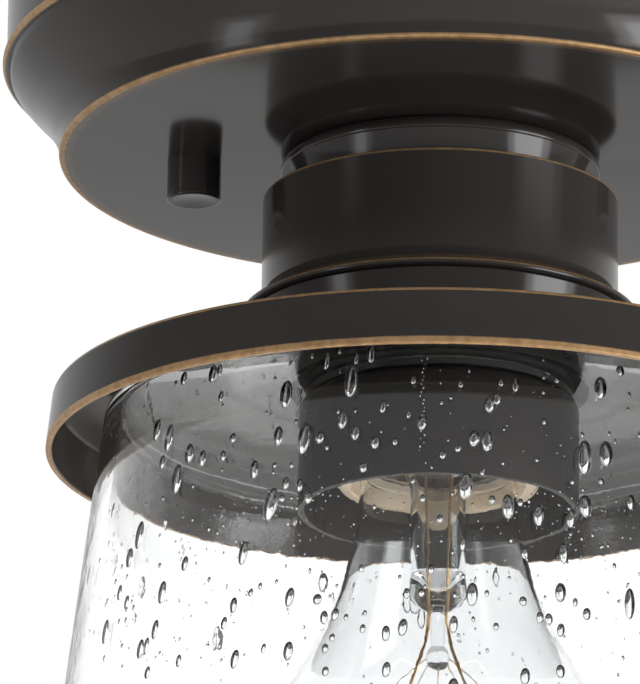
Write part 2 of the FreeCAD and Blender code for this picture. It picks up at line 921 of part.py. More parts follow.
def bracket_screw(side):
    along = dim.bracket_screw_spacing / 2 * side
    seat = socket_top + dim.bracket_thickness
    depth = dim.bracket_screw_depth - dim.screw_end_gap
    shank = cylinder(f"bracket_shank_{side}", dim.bracket_screw_radius, depth, along=along, up=seat - depth)
    head = cylinder(
        f"bracket_head_{side}", dim.bracket_head_radius, dim.bracket_head_height, along=along, up=seat
    )
    return fused(f"bracket_screw_{side}", [shank, head])


# ---- bulb ---------------------------------------------------------------------------------------

def envelope_section(skin):
    """Half section of the bulb's glass, shrunk by skin."""
    ball = dim.bulb_radius.number - skin
    scale = ball / arc_reach.number
    centre = bulb_centre.number
    neck = dim.bulb_neck_radius.number - skin
    arc_radius = dim.bulb_neck_arc.number + skin
    tangent = vector(arc_across * scale, 0, bulb_centre + neck_climb * scale)
    bottom = vector(0, 0, centre - ball)
    side = vector(ball, 0, centre)
    neck_top = vector(neck, 0, bulb_neck_top)
    arc_centre = vector(neck + arc_radius, 0, bulb_neck_top)
    halfway = (tangent + neck_top) / 2 - arc_centre
    middle = arc_centre + halfway.normalize() * arc_radius
    seal = bulb_seal.number - skin
    shoulder = vector(seal, 0, neck_top.z + dim.bulb_seal_step.number)
    seal_top = vector(seal, 0, shoulder.z + dim.bulb_seal_length.number)
    edges = [
        Part.Arc(bottom, vector(ball * math.sin(0.9), 0, centre - ball * math.cos(0.9)), side).toShape(),
        Part.Arc(side, vector(ball * math.cos(0.25), 0, centre + ball * math.sin(0.25)), tangent).toShape(),
        Part.Arc(tangent, middle, neck_top).toShape(),
        Part.LineSegment(neck_top, shoulder).toShape(),
        Part.LineSegment(shoulder, seal_top).toShape(),
        Part.LineSegment(seal_top, vector(0, 0, seal_top.z)).toShape(),
        Part.LineSegment(vector(0, 0, seal_top.z), bottom).toShape(),
    ]
    return Part.Face(Part.Wire(edges))


def make_bulb_envelope():
    axis = (FreeCAD.Vector(), FreeCAD.Vector(0, 0, 1), 360)
    outer = envelope_section(0.0)
    inner = envelope_section(dim.bulb_wall.number)
    hollow = outer.revolve(*axis).cut(inner.revolve(*axis))
    node(solid_feature("envelope", hollow), "bulb_envelope")


def make_bulb_base():
    """Screw base: contact tip, black insulator and the metal shell."""
    tip_up = bulb_top - dim.bulb_tip_height
    insulator_up = base_shell_top
    cone_up = insulator_up - dim.bulb_base_cone
    shell_up = base_shell_bottom
    wall = dim.bulb_base_wall
    tip = turned_body(
        "tip_contact",
        [
            (ZERO, bulb_top),
            (dim.bulb_tip_radius / 2, bulb_top),
            (dim.bulb_tip_radius, tip_up),
            (ZERO, tip_up),
        ],
    )
    node(tip, "bulb_tip_contact")
    insulator = turned_body(
        "base_insulator",
        [
            (ZERO, tip_up),
            (dim.bulb_tip_radius, tip_up),
            (dim.bulb_insulator_radius, insulator_up),
            (ZERO, insulator_up),
        ],
    )
    node(insulator, "bulb_base_insulator")
    shell = turned_body(
        "screw_base",
        [
            (ZERO, insulator_up),
            (dim.bulb_insulator_radius, insulator_up),
            (dim.bulb_base_radius, cone_up),
            (dim.bulb_base_radius, shell_up),
            (dim.bulb_base_radius - wall, shell_up),
            (dim.bulb_base_radius - wall, cone_up - wall),
            (dim.bulb_insulator_radius - wall, insulator_up - wall),
            (ZERO, insulator_up - wall),
        ],
    )
    node(shell, "bulb_screw_base")


def make_bulb_stem():
    """Glass flare, exhaust tube and button that carry the wires."""
    seal = bulb_neck_top + dim.bulb_seal_step + dim.bulb_seal_length
    top = seal.number - dim.contact_gap.number
    pinch = top - dim.stem_length.number
    button = pinch - dim.stem_button_length.number
    inner = bulb_seal - dim.bulb_wall - dim.thread_gap
    flare_height = dim.stem_flare_height.number
    stem_radius = dim.stem_radius.number
    flare = Part.makeCone(stem_radius, inner.number, flare_height, vector(0, 0, top - flare_height))
    tube = Part.makeCylinder(stem_radius, dim.stem_length.number - flare_height, vector(0, 0, pinch))
    rod_height = dim.stem_button_length.number
    rod = Part.makeCylinder(dim.stem_rod_radius.number, rod_height, vector(0, 0, button))
    ball = Part.makeSphere(dim.stem_button_radius.number, vector(0, 0, button))
    stem = flare.fuse(tube).fuse(rod).fuse(ball).removeSplitter()
    node(solid_feature("stem", stem), "bulb_stem")
    make_bulb_wires(pinch, button)


FILAMENT_HOOKS = 7
FILAMENT_START = -60
FILAMENT_SWEEP = 300


def filament_points():
    """The filament's zigzag round a ring, open at the back, as points from one lead tip to the other."""
    points = []
    for step in range(FILAMENT_HOOKS):
        angle = math.radians(FILAMENT_START + FILAMENT_SWEEP * step / (FILAMENT_HOOKS - 1))
        radius = dim.filament_ring_radius.number
        sway = dim.filament_sway if step % 2 else -dim.filament_sway
        up = bulb_centre + dim.filament_rise + sway
        points.append(vector(radius * math.cos(angle), radius * math.sin(angle), up))
    return points


def make_bulb_wires(pinch, button):
    points = filament_points()
    gap = dim.filament_radius.number + dim.wire_gap.number
    leads = []
    for side, tip in ((1, points[0]), (-1, points[-1])):
        outward = vector(tip.x, tip.y, 0).normalize()
        root = outward * dim.lead_wire_inset.number + vector(0, 0, pinch - dim.wire_gap.number)
        drop = root - vector(0, 0, dim.lead_wire_drop)
        out = (root + tip) / 2 + outward * dim.lead_wire_inset.number
        end = tip + vector(0, 0, gap)
        leads.append(round_wire(f"lead wire {side}", [root, drop, out, end], dim.lead_wire_radius))
    node(solid_feature("lead_wires", Part.Compound(leads)), "bulb_lead_wires")
    supports = []
    ball = dim.stem_button_radius.number
    for point in points[1:-1]:
        outward = vector(point.x, point.y, 0).normalize()
        root = vector(0, 0, button) + outward * (ball + dim.support_wire_radius.number)
        end = point - outward * (gap + dim.filament_sway.number / 4)
        supports.append(Part.Wire(Part.LineSegment(root, end).toShape()))
    rods = [support_rod(wire) for wire in supports]
    node(solid_feature("support_wires", Part.Compound(rods)), "bulb_support_wires")
    coil = round_wire("filament", points, dim.filament_radius)
    node(solid_feature("filament_coil", coil), "bulb_filament")


def support_rod(wire):
    start, end = (vertex.Point for vertex in wire.Vertexes)
    return Part.makeCylinder(dim.support_wire_radius.number, (end - start).Length, start, end - start)


# ---- wiring -------------------------------------------------------------------------------------

def make_leads():
    """Black and white leads from the socket, up the threaded tube and out to their connectors."""
    for side, label in ((1, "black_lead"), (-1, "white_lead")):
        points = [
            vector(dim.lead_offset * side, 0, socket_top),
            vector(dim.lead_offset * side, 0, -dim.lead_height),
            vector(dim.connector_start * side, 0, -dim.lead_height),
        ]
        node(solid_feature(label + "_tube", round_wire(label, points, dim.lead_radius)), label)
    connectors = []
    for side in (-1, 1):
        cone = doc.addObject("Part::Cone", f"connector_{side}")
        bind(
            cone,
            Radius1=dim.connector_mouth_radius,
            Radius2=dim.connector_tip_radius,
            Height=dim.connector_length,
        )
        turn = FreeCAD.Rotation(FreeCAD.Vector(0, 1, 0), 90 * side)
        place(cone, across=dim.connector_start * side, up=-dim.lead_height, turn=turn)
        connectors.append(cone)
    node(group("wire_connectors", connectors), "wire_connectors")


def make_ground_lead():
    """Bare wire from a ring under the canopy nut to a ring under the ground screw."""
    wire = dim.ground_wire_radius
    low = canopy_floor + wire / 2
    high = bar_bottom - wire / 2
    screw = -dim.ground_screw_offset
    low_reach = dim.washer_radius + dim.lug_reach
    high_reach = dim.ground_head_radius + dim.lug_reach
    swing = dim.ground_wire_swing
    middle = (low + high) / 2
    points = [
        vector(0, low_reach, low + wire / 2),
        vector(0, low_reach + swing, low + wire * 2),
        vector(screw * 0.35, low_reach + swing * 1.3, middle - swing * 0.7),
        vector(screw * 0.8, high_reach + swing * 1.2, middle + swing * 0.7),
        vector(screw, high_reach + swing, high - wire / 2),
        vector(screw, high_reach, high - wire / 2),
    ]
    tube = round_wire("ground lead", points, wire)
    low_ring = lug(
        low_reach + dim.lug_overlap,
        dim.washer_radius,
        dim.nipple_radius + dim.thread_gap,
        ZERO,
        canopy_floor,
    )
    high_ring = lug(
        high_reach + dim.lug_overlap,
        dim.ground_head_radius,
        dim.ground_screw_radius + dim.thread_gap,
        screw,
        bar_bottom - wire,
    )
    lead = tube.fuse([low_ring, high_ring]).removeSplitter()
    node(solid_feature("ground_lead_wire", lead), "ground_lead")


def lug(reach, outer, bore, across, up):
    """A flat ring terminal with a tongue towards +Y."""
    thick = dim.ground_wire_radius.number
    centre = vector(across, 0, up)
    width = dim.lug_tongue_width
    disc = Part.makeCylinder(outer.number, thick, centre)
    tongue = Part.makeBox(width.number, reach.number, thick, centre - vector(width / 2, 0, 0))
    hole = Part.makeCylinder(bore.number, thick, centre)
    return disc.fuse(tongue).cut(hole)


# ---- build, check and write ---------------------------------------------------------------------

make_ceiling_gasket()
make_crossbar()
make_studs()
make_ground_screw()
make_canopy()
make_cap_nut(-1, "cap_nut_left")
make_cap_nut(1, "cap_nut_right")
make_collar()
make_neck()
make_nipple()
make_shade_plate()
make_spacer_and_gaskets()
make_glass_shade()
make_retaining_cup()
make_socket()
make_socket_metal()
make_socket_bracket()
make_bulb_base()
make_bulb_envelope()
make_bulb_stem()
make_leads()
make_ground_lead()
doc.recompute()

for feature in doc.Objects:
    if "Invalid" in feature.State or "Error" in feature.State:
        raise RuntimeError(f"{feature.Name} failed: {feature.State}")
for piece in nodes:
    if piece.Shape.isNull() or not piece.Shape.isValid() or not piece.Shape.Solids:
        raise RuntimeError(f"{piece.Label} has no valid shape")

os.makedirs("parts", exist_ok=True)
for piece in nodes:
    piece.Shape.exportStep(f"parts/{piece.Label}.step")
print(len(nodes), "pieces")
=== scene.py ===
"""Looks of a porch ceiling lantern: bronze canopy, neck and shade plate over a seeded glass shade."""
import math
import random

import bpy
from mathutils import Matrix, Vector


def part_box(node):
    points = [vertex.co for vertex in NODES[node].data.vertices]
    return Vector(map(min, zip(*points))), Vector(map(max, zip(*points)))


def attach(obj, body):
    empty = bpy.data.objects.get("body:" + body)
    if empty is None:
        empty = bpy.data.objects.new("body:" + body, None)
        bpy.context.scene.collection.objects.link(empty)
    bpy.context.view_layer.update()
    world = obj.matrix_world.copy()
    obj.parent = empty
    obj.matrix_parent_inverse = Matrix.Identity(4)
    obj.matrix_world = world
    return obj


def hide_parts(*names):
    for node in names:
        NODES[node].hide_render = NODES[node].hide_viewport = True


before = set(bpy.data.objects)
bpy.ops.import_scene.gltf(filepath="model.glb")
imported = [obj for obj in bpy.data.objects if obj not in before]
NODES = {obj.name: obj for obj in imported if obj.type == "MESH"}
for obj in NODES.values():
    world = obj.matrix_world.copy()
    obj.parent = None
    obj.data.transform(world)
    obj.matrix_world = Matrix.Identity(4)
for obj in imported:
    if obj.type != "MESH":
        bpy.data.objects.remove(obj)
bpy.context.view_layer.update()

MM = 0.001
AROUND = 256
AROUND_FINE = 320
MERGE = 1e-6
SAME_SPOT = 1e-9
ARC_STEP = math.radians(7)
FLAT_ANGLE = math.radians(28)

# ---- heights and radii in mm, the ceiling at zero ------------------------------------------------

SHEET = 1.2
CANOPY_TOP = -2.5
CANOPY_BOTTOM = -35.0
CANOPY_RADIUS = 79.4
CANOPY_FOOT = 68.9
STUD_ACROSS = 44.45
STUD_HOLE = 2.48
COLLAR_RADIUS = 28.0
NECK_TOP = -42.5
NECK_BOTTOM = -65.2
NECK_RADIUS = 32.0
NECK_RING = 35.3
PLATE_RADIUS = 69.2
PLATE_LIP = 70.2
PLATE_LIP_UP = -90.4
TUBE_RADIUS = 5.05
GLASS_TOP = -76.4
GLASS_WALL = 2.6
GLASS_SIDE_UP = -84.9
GLASS_SIDE = 59.9
GLASS_MOUTH_UP = -205.0
GLASS_MOUTH = 74.6
CUP_TOP = -80.2
CUP_BOTTOM = -100.5
CUP_RADIUS = 25.1
SOCKET_TOP = -62.0
SOCKET_BOTTOM = -96.0
SOCKET_RADIUS = 19.5
BULB_CENTRE = -146.97
BULB_RADIUS = 30.0
BULB_NECK = 14.0
BULB_NECK_UP = -93.9
BULB_SHOULDER = 66.0
BULB_WALL = 0.7
BULB_SEAL = 12.4
STEM_TOP = BULB_NECK_UP + 6.1
STEM_PRESS = -112.0
STEM_END = -118.0
STEM_BUTTON = -127.0
HOOK_ACROSS = 14.0
HOOK_UP = BULB_CENTRE + 3.0
HOOK_SWAY = 3.5
HOOK_RADIUS = 0.45
FILAMENT_GLOW = 110.0
BASE_TOP = -69.6
BASE_BOTTOM = -91.6


# ---- sections and turned bodies ------------------------------------------------------------------

def at(across, up, ease=0.0, bend=0.0):
    """A corner of a section: ease rounds it, and bend bows the run to the next one."""
    return Vector((across, up)), ease, bend


def bow(start, finish, radius):
    """Points along an arc from start to finish. A positive radius turns left on the way."""
    chord = finish - start
    side = Vector((-chord.y, chord.x)).normalized()
    rise = math.sqrt(max(radius * radius - chord.length_squared / 4, 0.0))
    turn = math.copysign(1.0, radius)
    centre = (start + finish) / 2 + side * rise * turn
    swing = 2 * math.asin(min(chord.length / 2 / abs(radius), 1.0)) * turn
    count = max(2, math.ceil(abs(swing) / ARC_STEP))
    arm = start - centre
    return [centre + Matrix.Rotation(swing * i / count, 2) @ arm for i in range(count + 1)]


def eased(before, corner, after, radius):
    """The round that takes a corner's place."""
    back = (before - corner).normalized()
    ahead = (after - corner).normalized()
    reach = radius / math.tan(back.angle(ahead) / 2)
    turn = (corner - before).cross(after - corner)
    return reach, bow(corner + back * reach, corner + ahead * reach, math.copysign(radius, turn))


def section(corners, closed=True):
    """Points of an outline given by its corners."""
    count = len(corners)
    runs = []
    for i in range(count if closed else count - 1):
        start, _, bend = corners[i]
        finish = corners[(i + 1) % count][0]
        runs.append(bow(start, finish, bend) if bend else [start, finish])
    points = []
    for i, run in enumerate(runs):
        corner, ease, _ = corners[i]
        if ease:
            reach, curve = eased(runs[i - 1][-2], corner, run[1], ease)
            while len(points) > 1 and (points[-1] - corner).length < reach:
                points.pop()
            points += curve
            points += [p for p in run[1:-1] if (p - corner).length > reach]
        else:
            points += run[:-1]
    if closed and corners[0][1]:
        first = corners[0][0]
        points = [p for p in points if (p - first).length > SAME_SPOT]
    if not closed:
        points.append(corners[-1][0])
    return points


def start_piece(add, **settings):
    """Deselects everything, adds a primitive and opens it for editing."""
    if bpy.context.object and bpy.context.object.mode != "OBJECT":
        bpy.ops.object.mode_set(mode="OBJECT")
    bpy.ops.object.select_all(action="DESELECT")
    add(**settings)
    bpy.ops.object.mode_set(mode="EDIT")
    return bpy.context.object


def named(piece, name):
    piece.name = name
    piece.data.name = name
    return piece


def close_piece(piece, name, angle=FLAT_ANGLE):
    """Leaves edit mode, names the piece and smooths all but its sharp edges."""
    bpy.ops.object.mode_set(mode="OBJECT")
    named(piece, name)
    bpy.ops.object.shade_smooth_by_angle(angle=angle)
    return piece


def turned(name, points, around=AROUND, closed=True):
    """Spins a section round the axis. Points are (across, up) in mm."""
    piece = start_piece(bpy.ops.mesh.primitive_plane_add, size=MM)
    bpy.ops.mesh.merge(type="CENTER")
    first = points[0]
    bpy.ops.transform.translate(value=(first.x * MM, 0, first.y * MM))
    path = points[1:] + ([first] if closed else [])
    here = first
    for point in path:
        step = (point - here) * MM
        bpy.ops.mesh.extrude_region_move(TRANSFORM_OT_translate={"value": (step.x, 0, step.y)})
        here = point
    bpy.ops.mesh.select_all(action="SELECT")
    bpy.ops.mesh.remove_doubles(threshold=MERGE)
    bpy.ops.mesh.spin(steps=around, angle=2 * math.pi, center=(0, 0, 0), axis=(0, 0, 1))
    bpy.ops.mesh.select_all(action="SELECT")
    bpy.ops.mesh.remove_doubles(threshold=MERGE)
    bpy.ops.mesh.normals_make_consistent(inside=False)
    return close_piece(piece, name)


def bored(piece, radius, spots):
    """Cuts upright round holes through a piece at (across, along) spots in mm."""
    for across, along in spots:
        bpy.ops.object.select_all(action="DESELECT")
        bpy.ops.mesh.primitive_cylinder_add(
            vertices=48,
            radius=radius * MM,
            depth=0.3,
            location=(across * MM, along * MM, -0.05),
        )
        cutter = bpy.context.object
        bpy.context.view_layer.objects.active = piece
        hole = piece.modifiers.new("hole", "BOOLEAN")
        hole.operation = "DIFFERENCE"
        hole.object = cutter
        bpy.ops.object.modifier_apply(modifier=hole.name)
        bpy.data.objects.remove(cutter)
    bpy.ops.object.select_all(action="DESELECT")
    piece.select_set(True)
    bpy.ops.object.shade_smooth_by_angle(angle=FLAT_ANGLE)


def joined(pieces, name):
    """One piece out of several."""
    bpy.ops.object.select_all(action="DESELECT")
    for piece in pieces:
        piece.select_set(True)
    bpy.context.view_layer.objects.active = pieces[0]
    bpy.ops.object.join()
    return named(pieces[0], name)


def settle(piece, body, slot, material, *replaced):
    """Gives a finished piece its finish, its body and the nodes that it stands for."""
    piece.data.materials.clear()
    piece.data.materials.append(material)
    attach(piece, body)
    if replaced:
        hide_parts(*replaced)


# ---- node helpers --------------------------------------------------------------------------------

def add_node(tree, kind, **settings):
    """A new node with its settings."""
    node = tree.nodes.new(kind)
    for key, value in settings.items():
        setattr(node, key, value)
    return node


def link(tree, source, target):
    tree.links.new(source, target)


def feed(tree, given, socket):
    """Sets a socket to a number or a colour, or links another node's output to it."""
    if isinstance(given, (int, float)):
        socket.default_value = given
    elif isinstance(given, tuple):
        socket.default_value = given + (1.0,)
    elif given is not None:
        link(tree, given, socket)


def combine(tree, operation, left, right=None, third=None):
    """A maths node. Each value is a number or another node's output."""
    node = add_node(tree, "ShaderNodeMath", operation=operation)
    for socket, given in zip(node.inputs, (left, right, third)):
        feed(tree, given, socket)
    return node.outputs[0]


def blend_colour(tree, factor, low, high):
    """A mix of two colours. Each is three numbers or another node's output."""
    node = add_node(tree, "ShaderNodeMix", data_type="RGBA")
    link(tree, factor, node.inputs[0])
    feed(tree, low, node.inputs[6])
    feed(tree, high, node.inputs[7])
    return node.outputs[2]


def noise(tree, place, scale, detail):
    """Soft random patches over a place."""
    node = add_node(tree, "ShaderNodeTexNoise")
    link(tree, place, node.inputs["Vector"])
    feed(tree, scale, node.inputs["Scale"])
    feed(tree, detail, node.inputs["Detail"])
    return node.outputs[0]


def fade(tree, given, start, finish, low=0.0, high=1.0, curve="SMOOTHSTEP"):
    """Goes from low to high while a value goes from start to finish."""
    node = add_node(tree, "ShaderNodeMapRange", interpolation_type=curve)
    labels = ("Value", "From Min", "From Max", "To Min", "To Max")
    for label, part in zip(labels, (given, start, finish, low, high)):
        feed(tree, part, node.inputs[label])
    return node.outputs[0]


def mixed_surface(tree, factor, first, second):
    """Sends one shader or another to the surface, as the factor says."""
    mix = add_node(tree, "ShaderNodeMixShader")
    for source, socket in zip((factor, first, second), mix.inputs):
        link(tree, source, socket)
    link(tree, mix.outputs[0], tree.nodes["Material Output"].inputs["Surface"])


def new_group(name, inputs, outputs):
    """A shader node group with named number, vector and colour sockets."""
    group = bpy.data.node_groups.new(name, "ShaderNodeTree")
    for label, kind, value in inputs:
        socket = group.interface.new_socket(label, in_out="INPUT", socket_type=kind)
        if value is not None:
            socket.default_value = value
    for label, kind in outputs:
        group.interface.new_socket(label, in_out="OUTPUT", socket_type=kind)
    entry = group.nodes.new("NodeGroupInput")
    leave = group.nodes.new("NodeGroupOutput")
    return group, entry, leave


def rubbed_edge_group():
    """Where paint is rubbed through along a ring: a ragged band round a given radius and height."""
    group, entry, leave = new_group(
        "rubbed_edge",
        [
            ("Vector", "NodeSocketVector", None),
            ("Radius", "NodeSocketFloat", 0.05),
            ("Height", "NodeSocketFloat", 0.0),
            ("Width", "NodeSocketFloat", 0.001),
            ("Raggedness", "NodeSocketFloat", 0.5),
            ("Core", "NodeSocketFloat", 0.8),
            ("Strength", "NodeSocketFloat", 1.0),
        ],
        [("Mask", "NodeSocketFloat")],
    )
    parts = add_node(group, "ShaderNodeSeparateXYZ")
    link(group, entry.outputs["Vector"], parts.inputs[0])
    across = combine(group, "POWER", parts.outputs[0], 2.0)
    along = combine(group, "POWER", parts.outputs[1], 2.0)
    radius = combine(group, "SQRT", combine(group, "ADD", across, along))
    off = combine(group, "SUBTRACT", radius, entry.outputs["Radius"])
    rise = combine(group, "SUBTRACT", parts.outputs[2], entry.outputs["Height"])
    squares = combine(group, "ADD", combine(group, "POWER", off, 2.0), combine(group, "POWER", rise, 2.0))
    distance = combine(group, "SQRT", squares)
    speck = noise(group, entry.outputs["Vector"], 420.0, 3.0)
    drift = noise(group, entry.outputs["Vector"], 26.0, 2.0)
    wander = combine(group, "ADD", speck, drift)
    wander = combine(group, "SUBTRACT", wander, 1.0)
    reach = combine(group, "MULTIPLY", wander, entry.outputs["Raggedness"])
    reach = combine(group, "MULTIPLY_ADD", reach, entry.outputs["Width"], entry.outputs["Width"])
    inner = combine(group, "MULTIPLY", reach, entry.outputs["Core"])
    mask = combine(group, "MULTIPLY", fade(group, distance, reach, inner), entry.outputs["Strength"])
    link(group, mask, leave.inputs["Mask"])
    return group


def grain_group():
    """Fine texture: a height for the bump and a mask that shifts colour and gloss."""
    group, entry, leave = new_group(
        "grain",
        [
            ("Vector", "NodeSocketVector", None),
            ("Scale", "NodeSocketFloat", 400.0),
            ("Patch scale", "NodeSocketFloat", 30.0),
        ],
        [("Height", "NodeSocketFloat"), ("Patches", "NodeSocketFloat")],
    )
    fine = noise(group, entry.outputs["Vector"], entry.outputs["Scale"], 3.0)
    patch = noise(group, entry.outputs["Vector"], entry.outputs["Patch scale"], 4.0)
    link(group, fine, leave.inputs["Height"])
    link(group, fade(group, patch, 0.35, 0.65), leave.inputs["Patches"])
    return group


RUBBED_EDGE = rubbed_edge_group()
GRAIN = grain_group()


class Finish:
    """A material with its shader, its object coordinates and its grain."""

    def __init__(self, name, grain=400.0, patch=30.0, centre=(0.0, 0.0, 0.0)):
        self.material = bpy.data.materials.new(name)
        self.material.use_nodes = True
        self.tree = self.material.node_tree
        self.shader = self.tree.nodes["Principled BSDF"]
        place = add_node(self.tree, "ShaderNodeTexCoord")
        mapping = add_node(self.tree, "ShaderNodeMapping")
        mapping.inputs["Location"].default_value = tuple(-c * MM for c in centre)
        link(self.tree, place.outputs["Object"], mapping.inputs[0])
        self.place = mapping.outputs[0]
        self.grain = add_node(self.tree, "ShaderNodeGroup", node_tree=GRAIN)
        self.grain.inputs["Scale"].default_value = grain
        self.grain.inputs["Patch scale"].default_value = patch
        link(self.tree, self.place, self.grain.inputs["Vector"])

    def value(self, **sockets):
        """Sets sockets that are the same all over. Names are written with _ for a space."""
        for name, value in sockets.items():
            socket = self.shader.inputs[name.replace("_", " ")]
            socket.default_value = value + (1.0,) if isinstance(value, tuple) else value

    def colour(self, low, high, factor=None):
        """Base colour from low to high over the patches or another mask."""
        mixed = blend_colour(self.tree, factor or self.grain.outputs["Patches"], low, high)
        link(self.tree, mixed, self.shader.inputs["Base Color"])
        return mixed

    def gloss(self, low, high, factor=None):
        """Roughness from low to high over the patches or another mask."""
        scaled = combine(self.tree, "MULTIPLY_ADD", factor or self.grain.outputs["Patches"], high - low, low)
        link(self.tree, scaled, self.shader.inputs["Roughness"])

    def bump(self, distance, height=None, strength=1.0):
        """Fine relief. The distance is in mm."""
        bump = add_node(self.tree, "ShaderNodeBump")
        bump.inputs["Strength"].default_value = strength
        bump.inputs["Distance"].default_value = distance * MM
        link(self.tree, height or self.grain.outputs["Height"], bump.inputs["Height"])
        link(self.tree, bump.outputs[0], self.shader.inputs["Normal"])

    def rubbed(self, rings):
        """One mask of all the rubbed rings: radius, height and width in mm, raggedness, core, strength."""
        mask = None
        for radius, height, width, ragged, core, strength in rings:
            edge = add_node(self.tree, "ShaderNodeGroup", node_tree=RUBBED_EDGE)
            given = (self.place, radius * MM, height * MM, width * MM, ragged, core, strength)
            for socket, part in zip(edge.inputs, given):
                feed(self.tree, part, socket)
            out = edge.outputs[0]
            mask = out if mask is None else combine(self.tree, "MAXIMUM", mask, out)
        return mask


# ---- finishes ------------------------------------------------------------------------------------

BRONZE_DARK = (0.0395, 0.0355, 0.0332)
BRONZE_WARM = (0.0480, 0.0410, 0.0378)
RUBBED_GOLD = (0.58, 0.36, 0.18)
RUBBED_BROWN = (0.45, 0.265, 0.12)
ZINC_LOOK = (0.50, 0.51, 0.52), (0.66, 0.66, 0.64), 0.26, 0.42


def bronze_paint(name, rings=(), centre=(0.0, 0.0, 0.0), gloss=(0.11, 0.14), depth=1.0, mirror=1.42):
    """Glossy near-black bronze, rubbed through to gold along its edges."""
    look = Finish(name, grain=620.0, patch=22.0, centre=centre)
    look.value(IOR=mirror)
    # depth below one scales both bronze colours down: painted shade for a part that sits in shade
    dark, warm = (tuple(part * depth for part in colour) for colour in (BRONZE_DARK, BRONZE_WARM))
    body = look.colour(dark, warm)
    look.gloss(*gloss)
    look.bump(0.004, strength=0.5)
    if rings:
        mask = look.rubbed(rings)
        speck = fade(look.tree, look.grain.outputs["Height"], 0.36, 0.6, curve="LINEAR")
        gold = blend_colour(look.tree, speck, RUBBED_BROWN, RUBBED_GOLD)
        look.colour(body, gold, mask)
        look.gloss(0.125, 0.4, mask)
        metal = combine(look.tree, "MULTIPLY", mask, 0.4)
        link(look.tree, metal, look.shader.inputs["Metallic"])
    return look.material


def glass(name, tint, wave, ripple):
    """Clear glass with uneven walls. Light passes it without a hard shadow."""
    look = Finish(name, grain=wave, patch=14.0)
    look.value(Base_Color=tint, IOR=1.5, Transmission_Weight=1.0, Roughness=0.0)
    if ripple:
        slow = noise(look.tree, look.place, wave / 4, 1.0)
        height = combine(look.tree, "MULTIPLY_ADD", slow, 2.5, look.grain.outputs["Height"])
        look.bump(ripple, height)
    clear = add_node(look.tree, "ShaderNodeBsdfTransparent")
    clear.inputs[0].default_value = (0.93, 0.94, 0.94, 1.0)
    path = add_node(look.tree, "ShaderNodeLightPath")
    mixed_surface(look.tree, path.outputs["Is Shadow Ray"], look.shader.outputs[0], clear.outputs[0])
    return look.material


def metal(name, low, high, rough_low, rough_high):
    """Bare or plated metal with a fine grain and uneven gloss."""
    look = Finish(name, grain=700.0, patch=60.0)
    look.value(Metallic=1.0)
    look.colour(low, high)
    look.gloss(rough_low, rough_high)
    look.bump(0.01, strength=0.4)
    return look.material


def soft(name, low, high, rough_low, rough_high, grain=900.0, relief=0.05):
    """Foam, rubber, plastic and glaze: no metal, uneven gloss and a fine relief."""
    look = Finish(name, grain=grain, patch=45.0)
    look.colour(low, high)
    look.gloss(rough_low, rough_high)
    look.bump(relief, strength=0.5)
    return look.material


def porcelain():
    """Cream glazed clay with a thin gloss over it."""
    look = Finish("porcelain", grain=260.0, patch=50.0)
    look.colour((0.66, 0.58, 0.49), (0.74, 0.67, 0.58))
    look.gloss(0.28, 0.42)
    look.value(Coat_Weight=0.4, Coat_Roughness=0.1)
    look.bump(0.03, strength=0.4)
    return look.material


def hot_filament():
    """Coiled wire that glows a warm yellow."""
    look = Finish("hot_filament", grain=1500.0, patch=80.0)
    look.value(Base_Color=(0.35, 0.3, 0.24), Metallic=1.0, Roughness=0.5)
    glow = blend_colour(look.tree, look.grain.outputs["Patches"], (1.0, 0.62, 0.26), (1.0, 0.78, 0.42))
    link(look.tree, glow, look.shader.inputs["Emission Color"])
    look.value(Emission_Strength=FILAMENT_GLOW)
    look.bump(0.03)
    return look.material


# ---- lit studio and camera -----------------------------------------------------------------------

ROOM_LIGHT = 0.42
ROOM_MIRRORED = 0.2
BACKDROP_MIRRORED = 0.65
CAMERA_SPOT = (0.0, -1.27584, -0.46281)
CAMERA_LENS = 391.97
CAMERA_SWING = 0.962
CAMERA_TILT = 17.159
CAMERA_ROLL = 0.593
FLOOR_UP = -0.95
FLOOR_SIZE = 14.0
FLOOR_LIFT = 0.26
LAMP_AIM = (0, 0, -0.09)

# Bearing in degrees, then the panel's place up, distance, width and height in metres, and its power.
SOFT_LAMPS = {
    "right_soft_box": (68, -0.3, 1.5, 0.95, 1.1, 9.0),
    "right_soft_core": (67, -0.28, 1.48, 0.6, 0.8, 6.5),
    "left_soft_box": (-60, -0.25, 1.6, 0.5, 1.2, 1.2),
    "left_soft_core": (-60, -0.25, 1.58, 0.24, 0.9, 1.2),
    "low_front_lamp": (0, -0.66, 0.57, 0.12, 0.1, 0.15),
}


def view_camera():
    """The photograph's viewpoint: below the lantern, looking up at it."""
    data = bpy.data.cameras.new("view_camera")
    data.lens = CAMERA_LENS
    data.sensor_width = 36.0
    data.clip_end = 50.0
    camera = bpy.data.objects.new("view_camera", data)
    bpy.context.scene.collection.objects.link(camera)
    camera.location = CAMERA_SPOT
    swing = Matrix.Rotation(math.radians(CAMERA_SWING), 3, "Z")
    tilt = Matrix.Rotation(math.radians(90 + CAMERA_TILT), 3, "X")
    roll = Matrix.Rotation(math.radians(CAMERA_ROLL), 3, "Z")
    camera.rotation_euler = (swing @ tilt @ roll).to_euler()
    bpy.context.scene.camera = camera
    bpy.context.scene.view_settings.view_transform = "Standard"


def seen_directly(tree):
    """One for rays that show the background: straight or through glass."""
    path = add_node(tree, "ShaderNodeLightPath")
    seen = combine(tree, "ADD", path.outputs["Is Camera Ray"], path.outputs["Is Transmission Ray"])
    return combine(tree, "MINIMUM", seen, 1.0), path.outputs["Is Glossy Ray"]


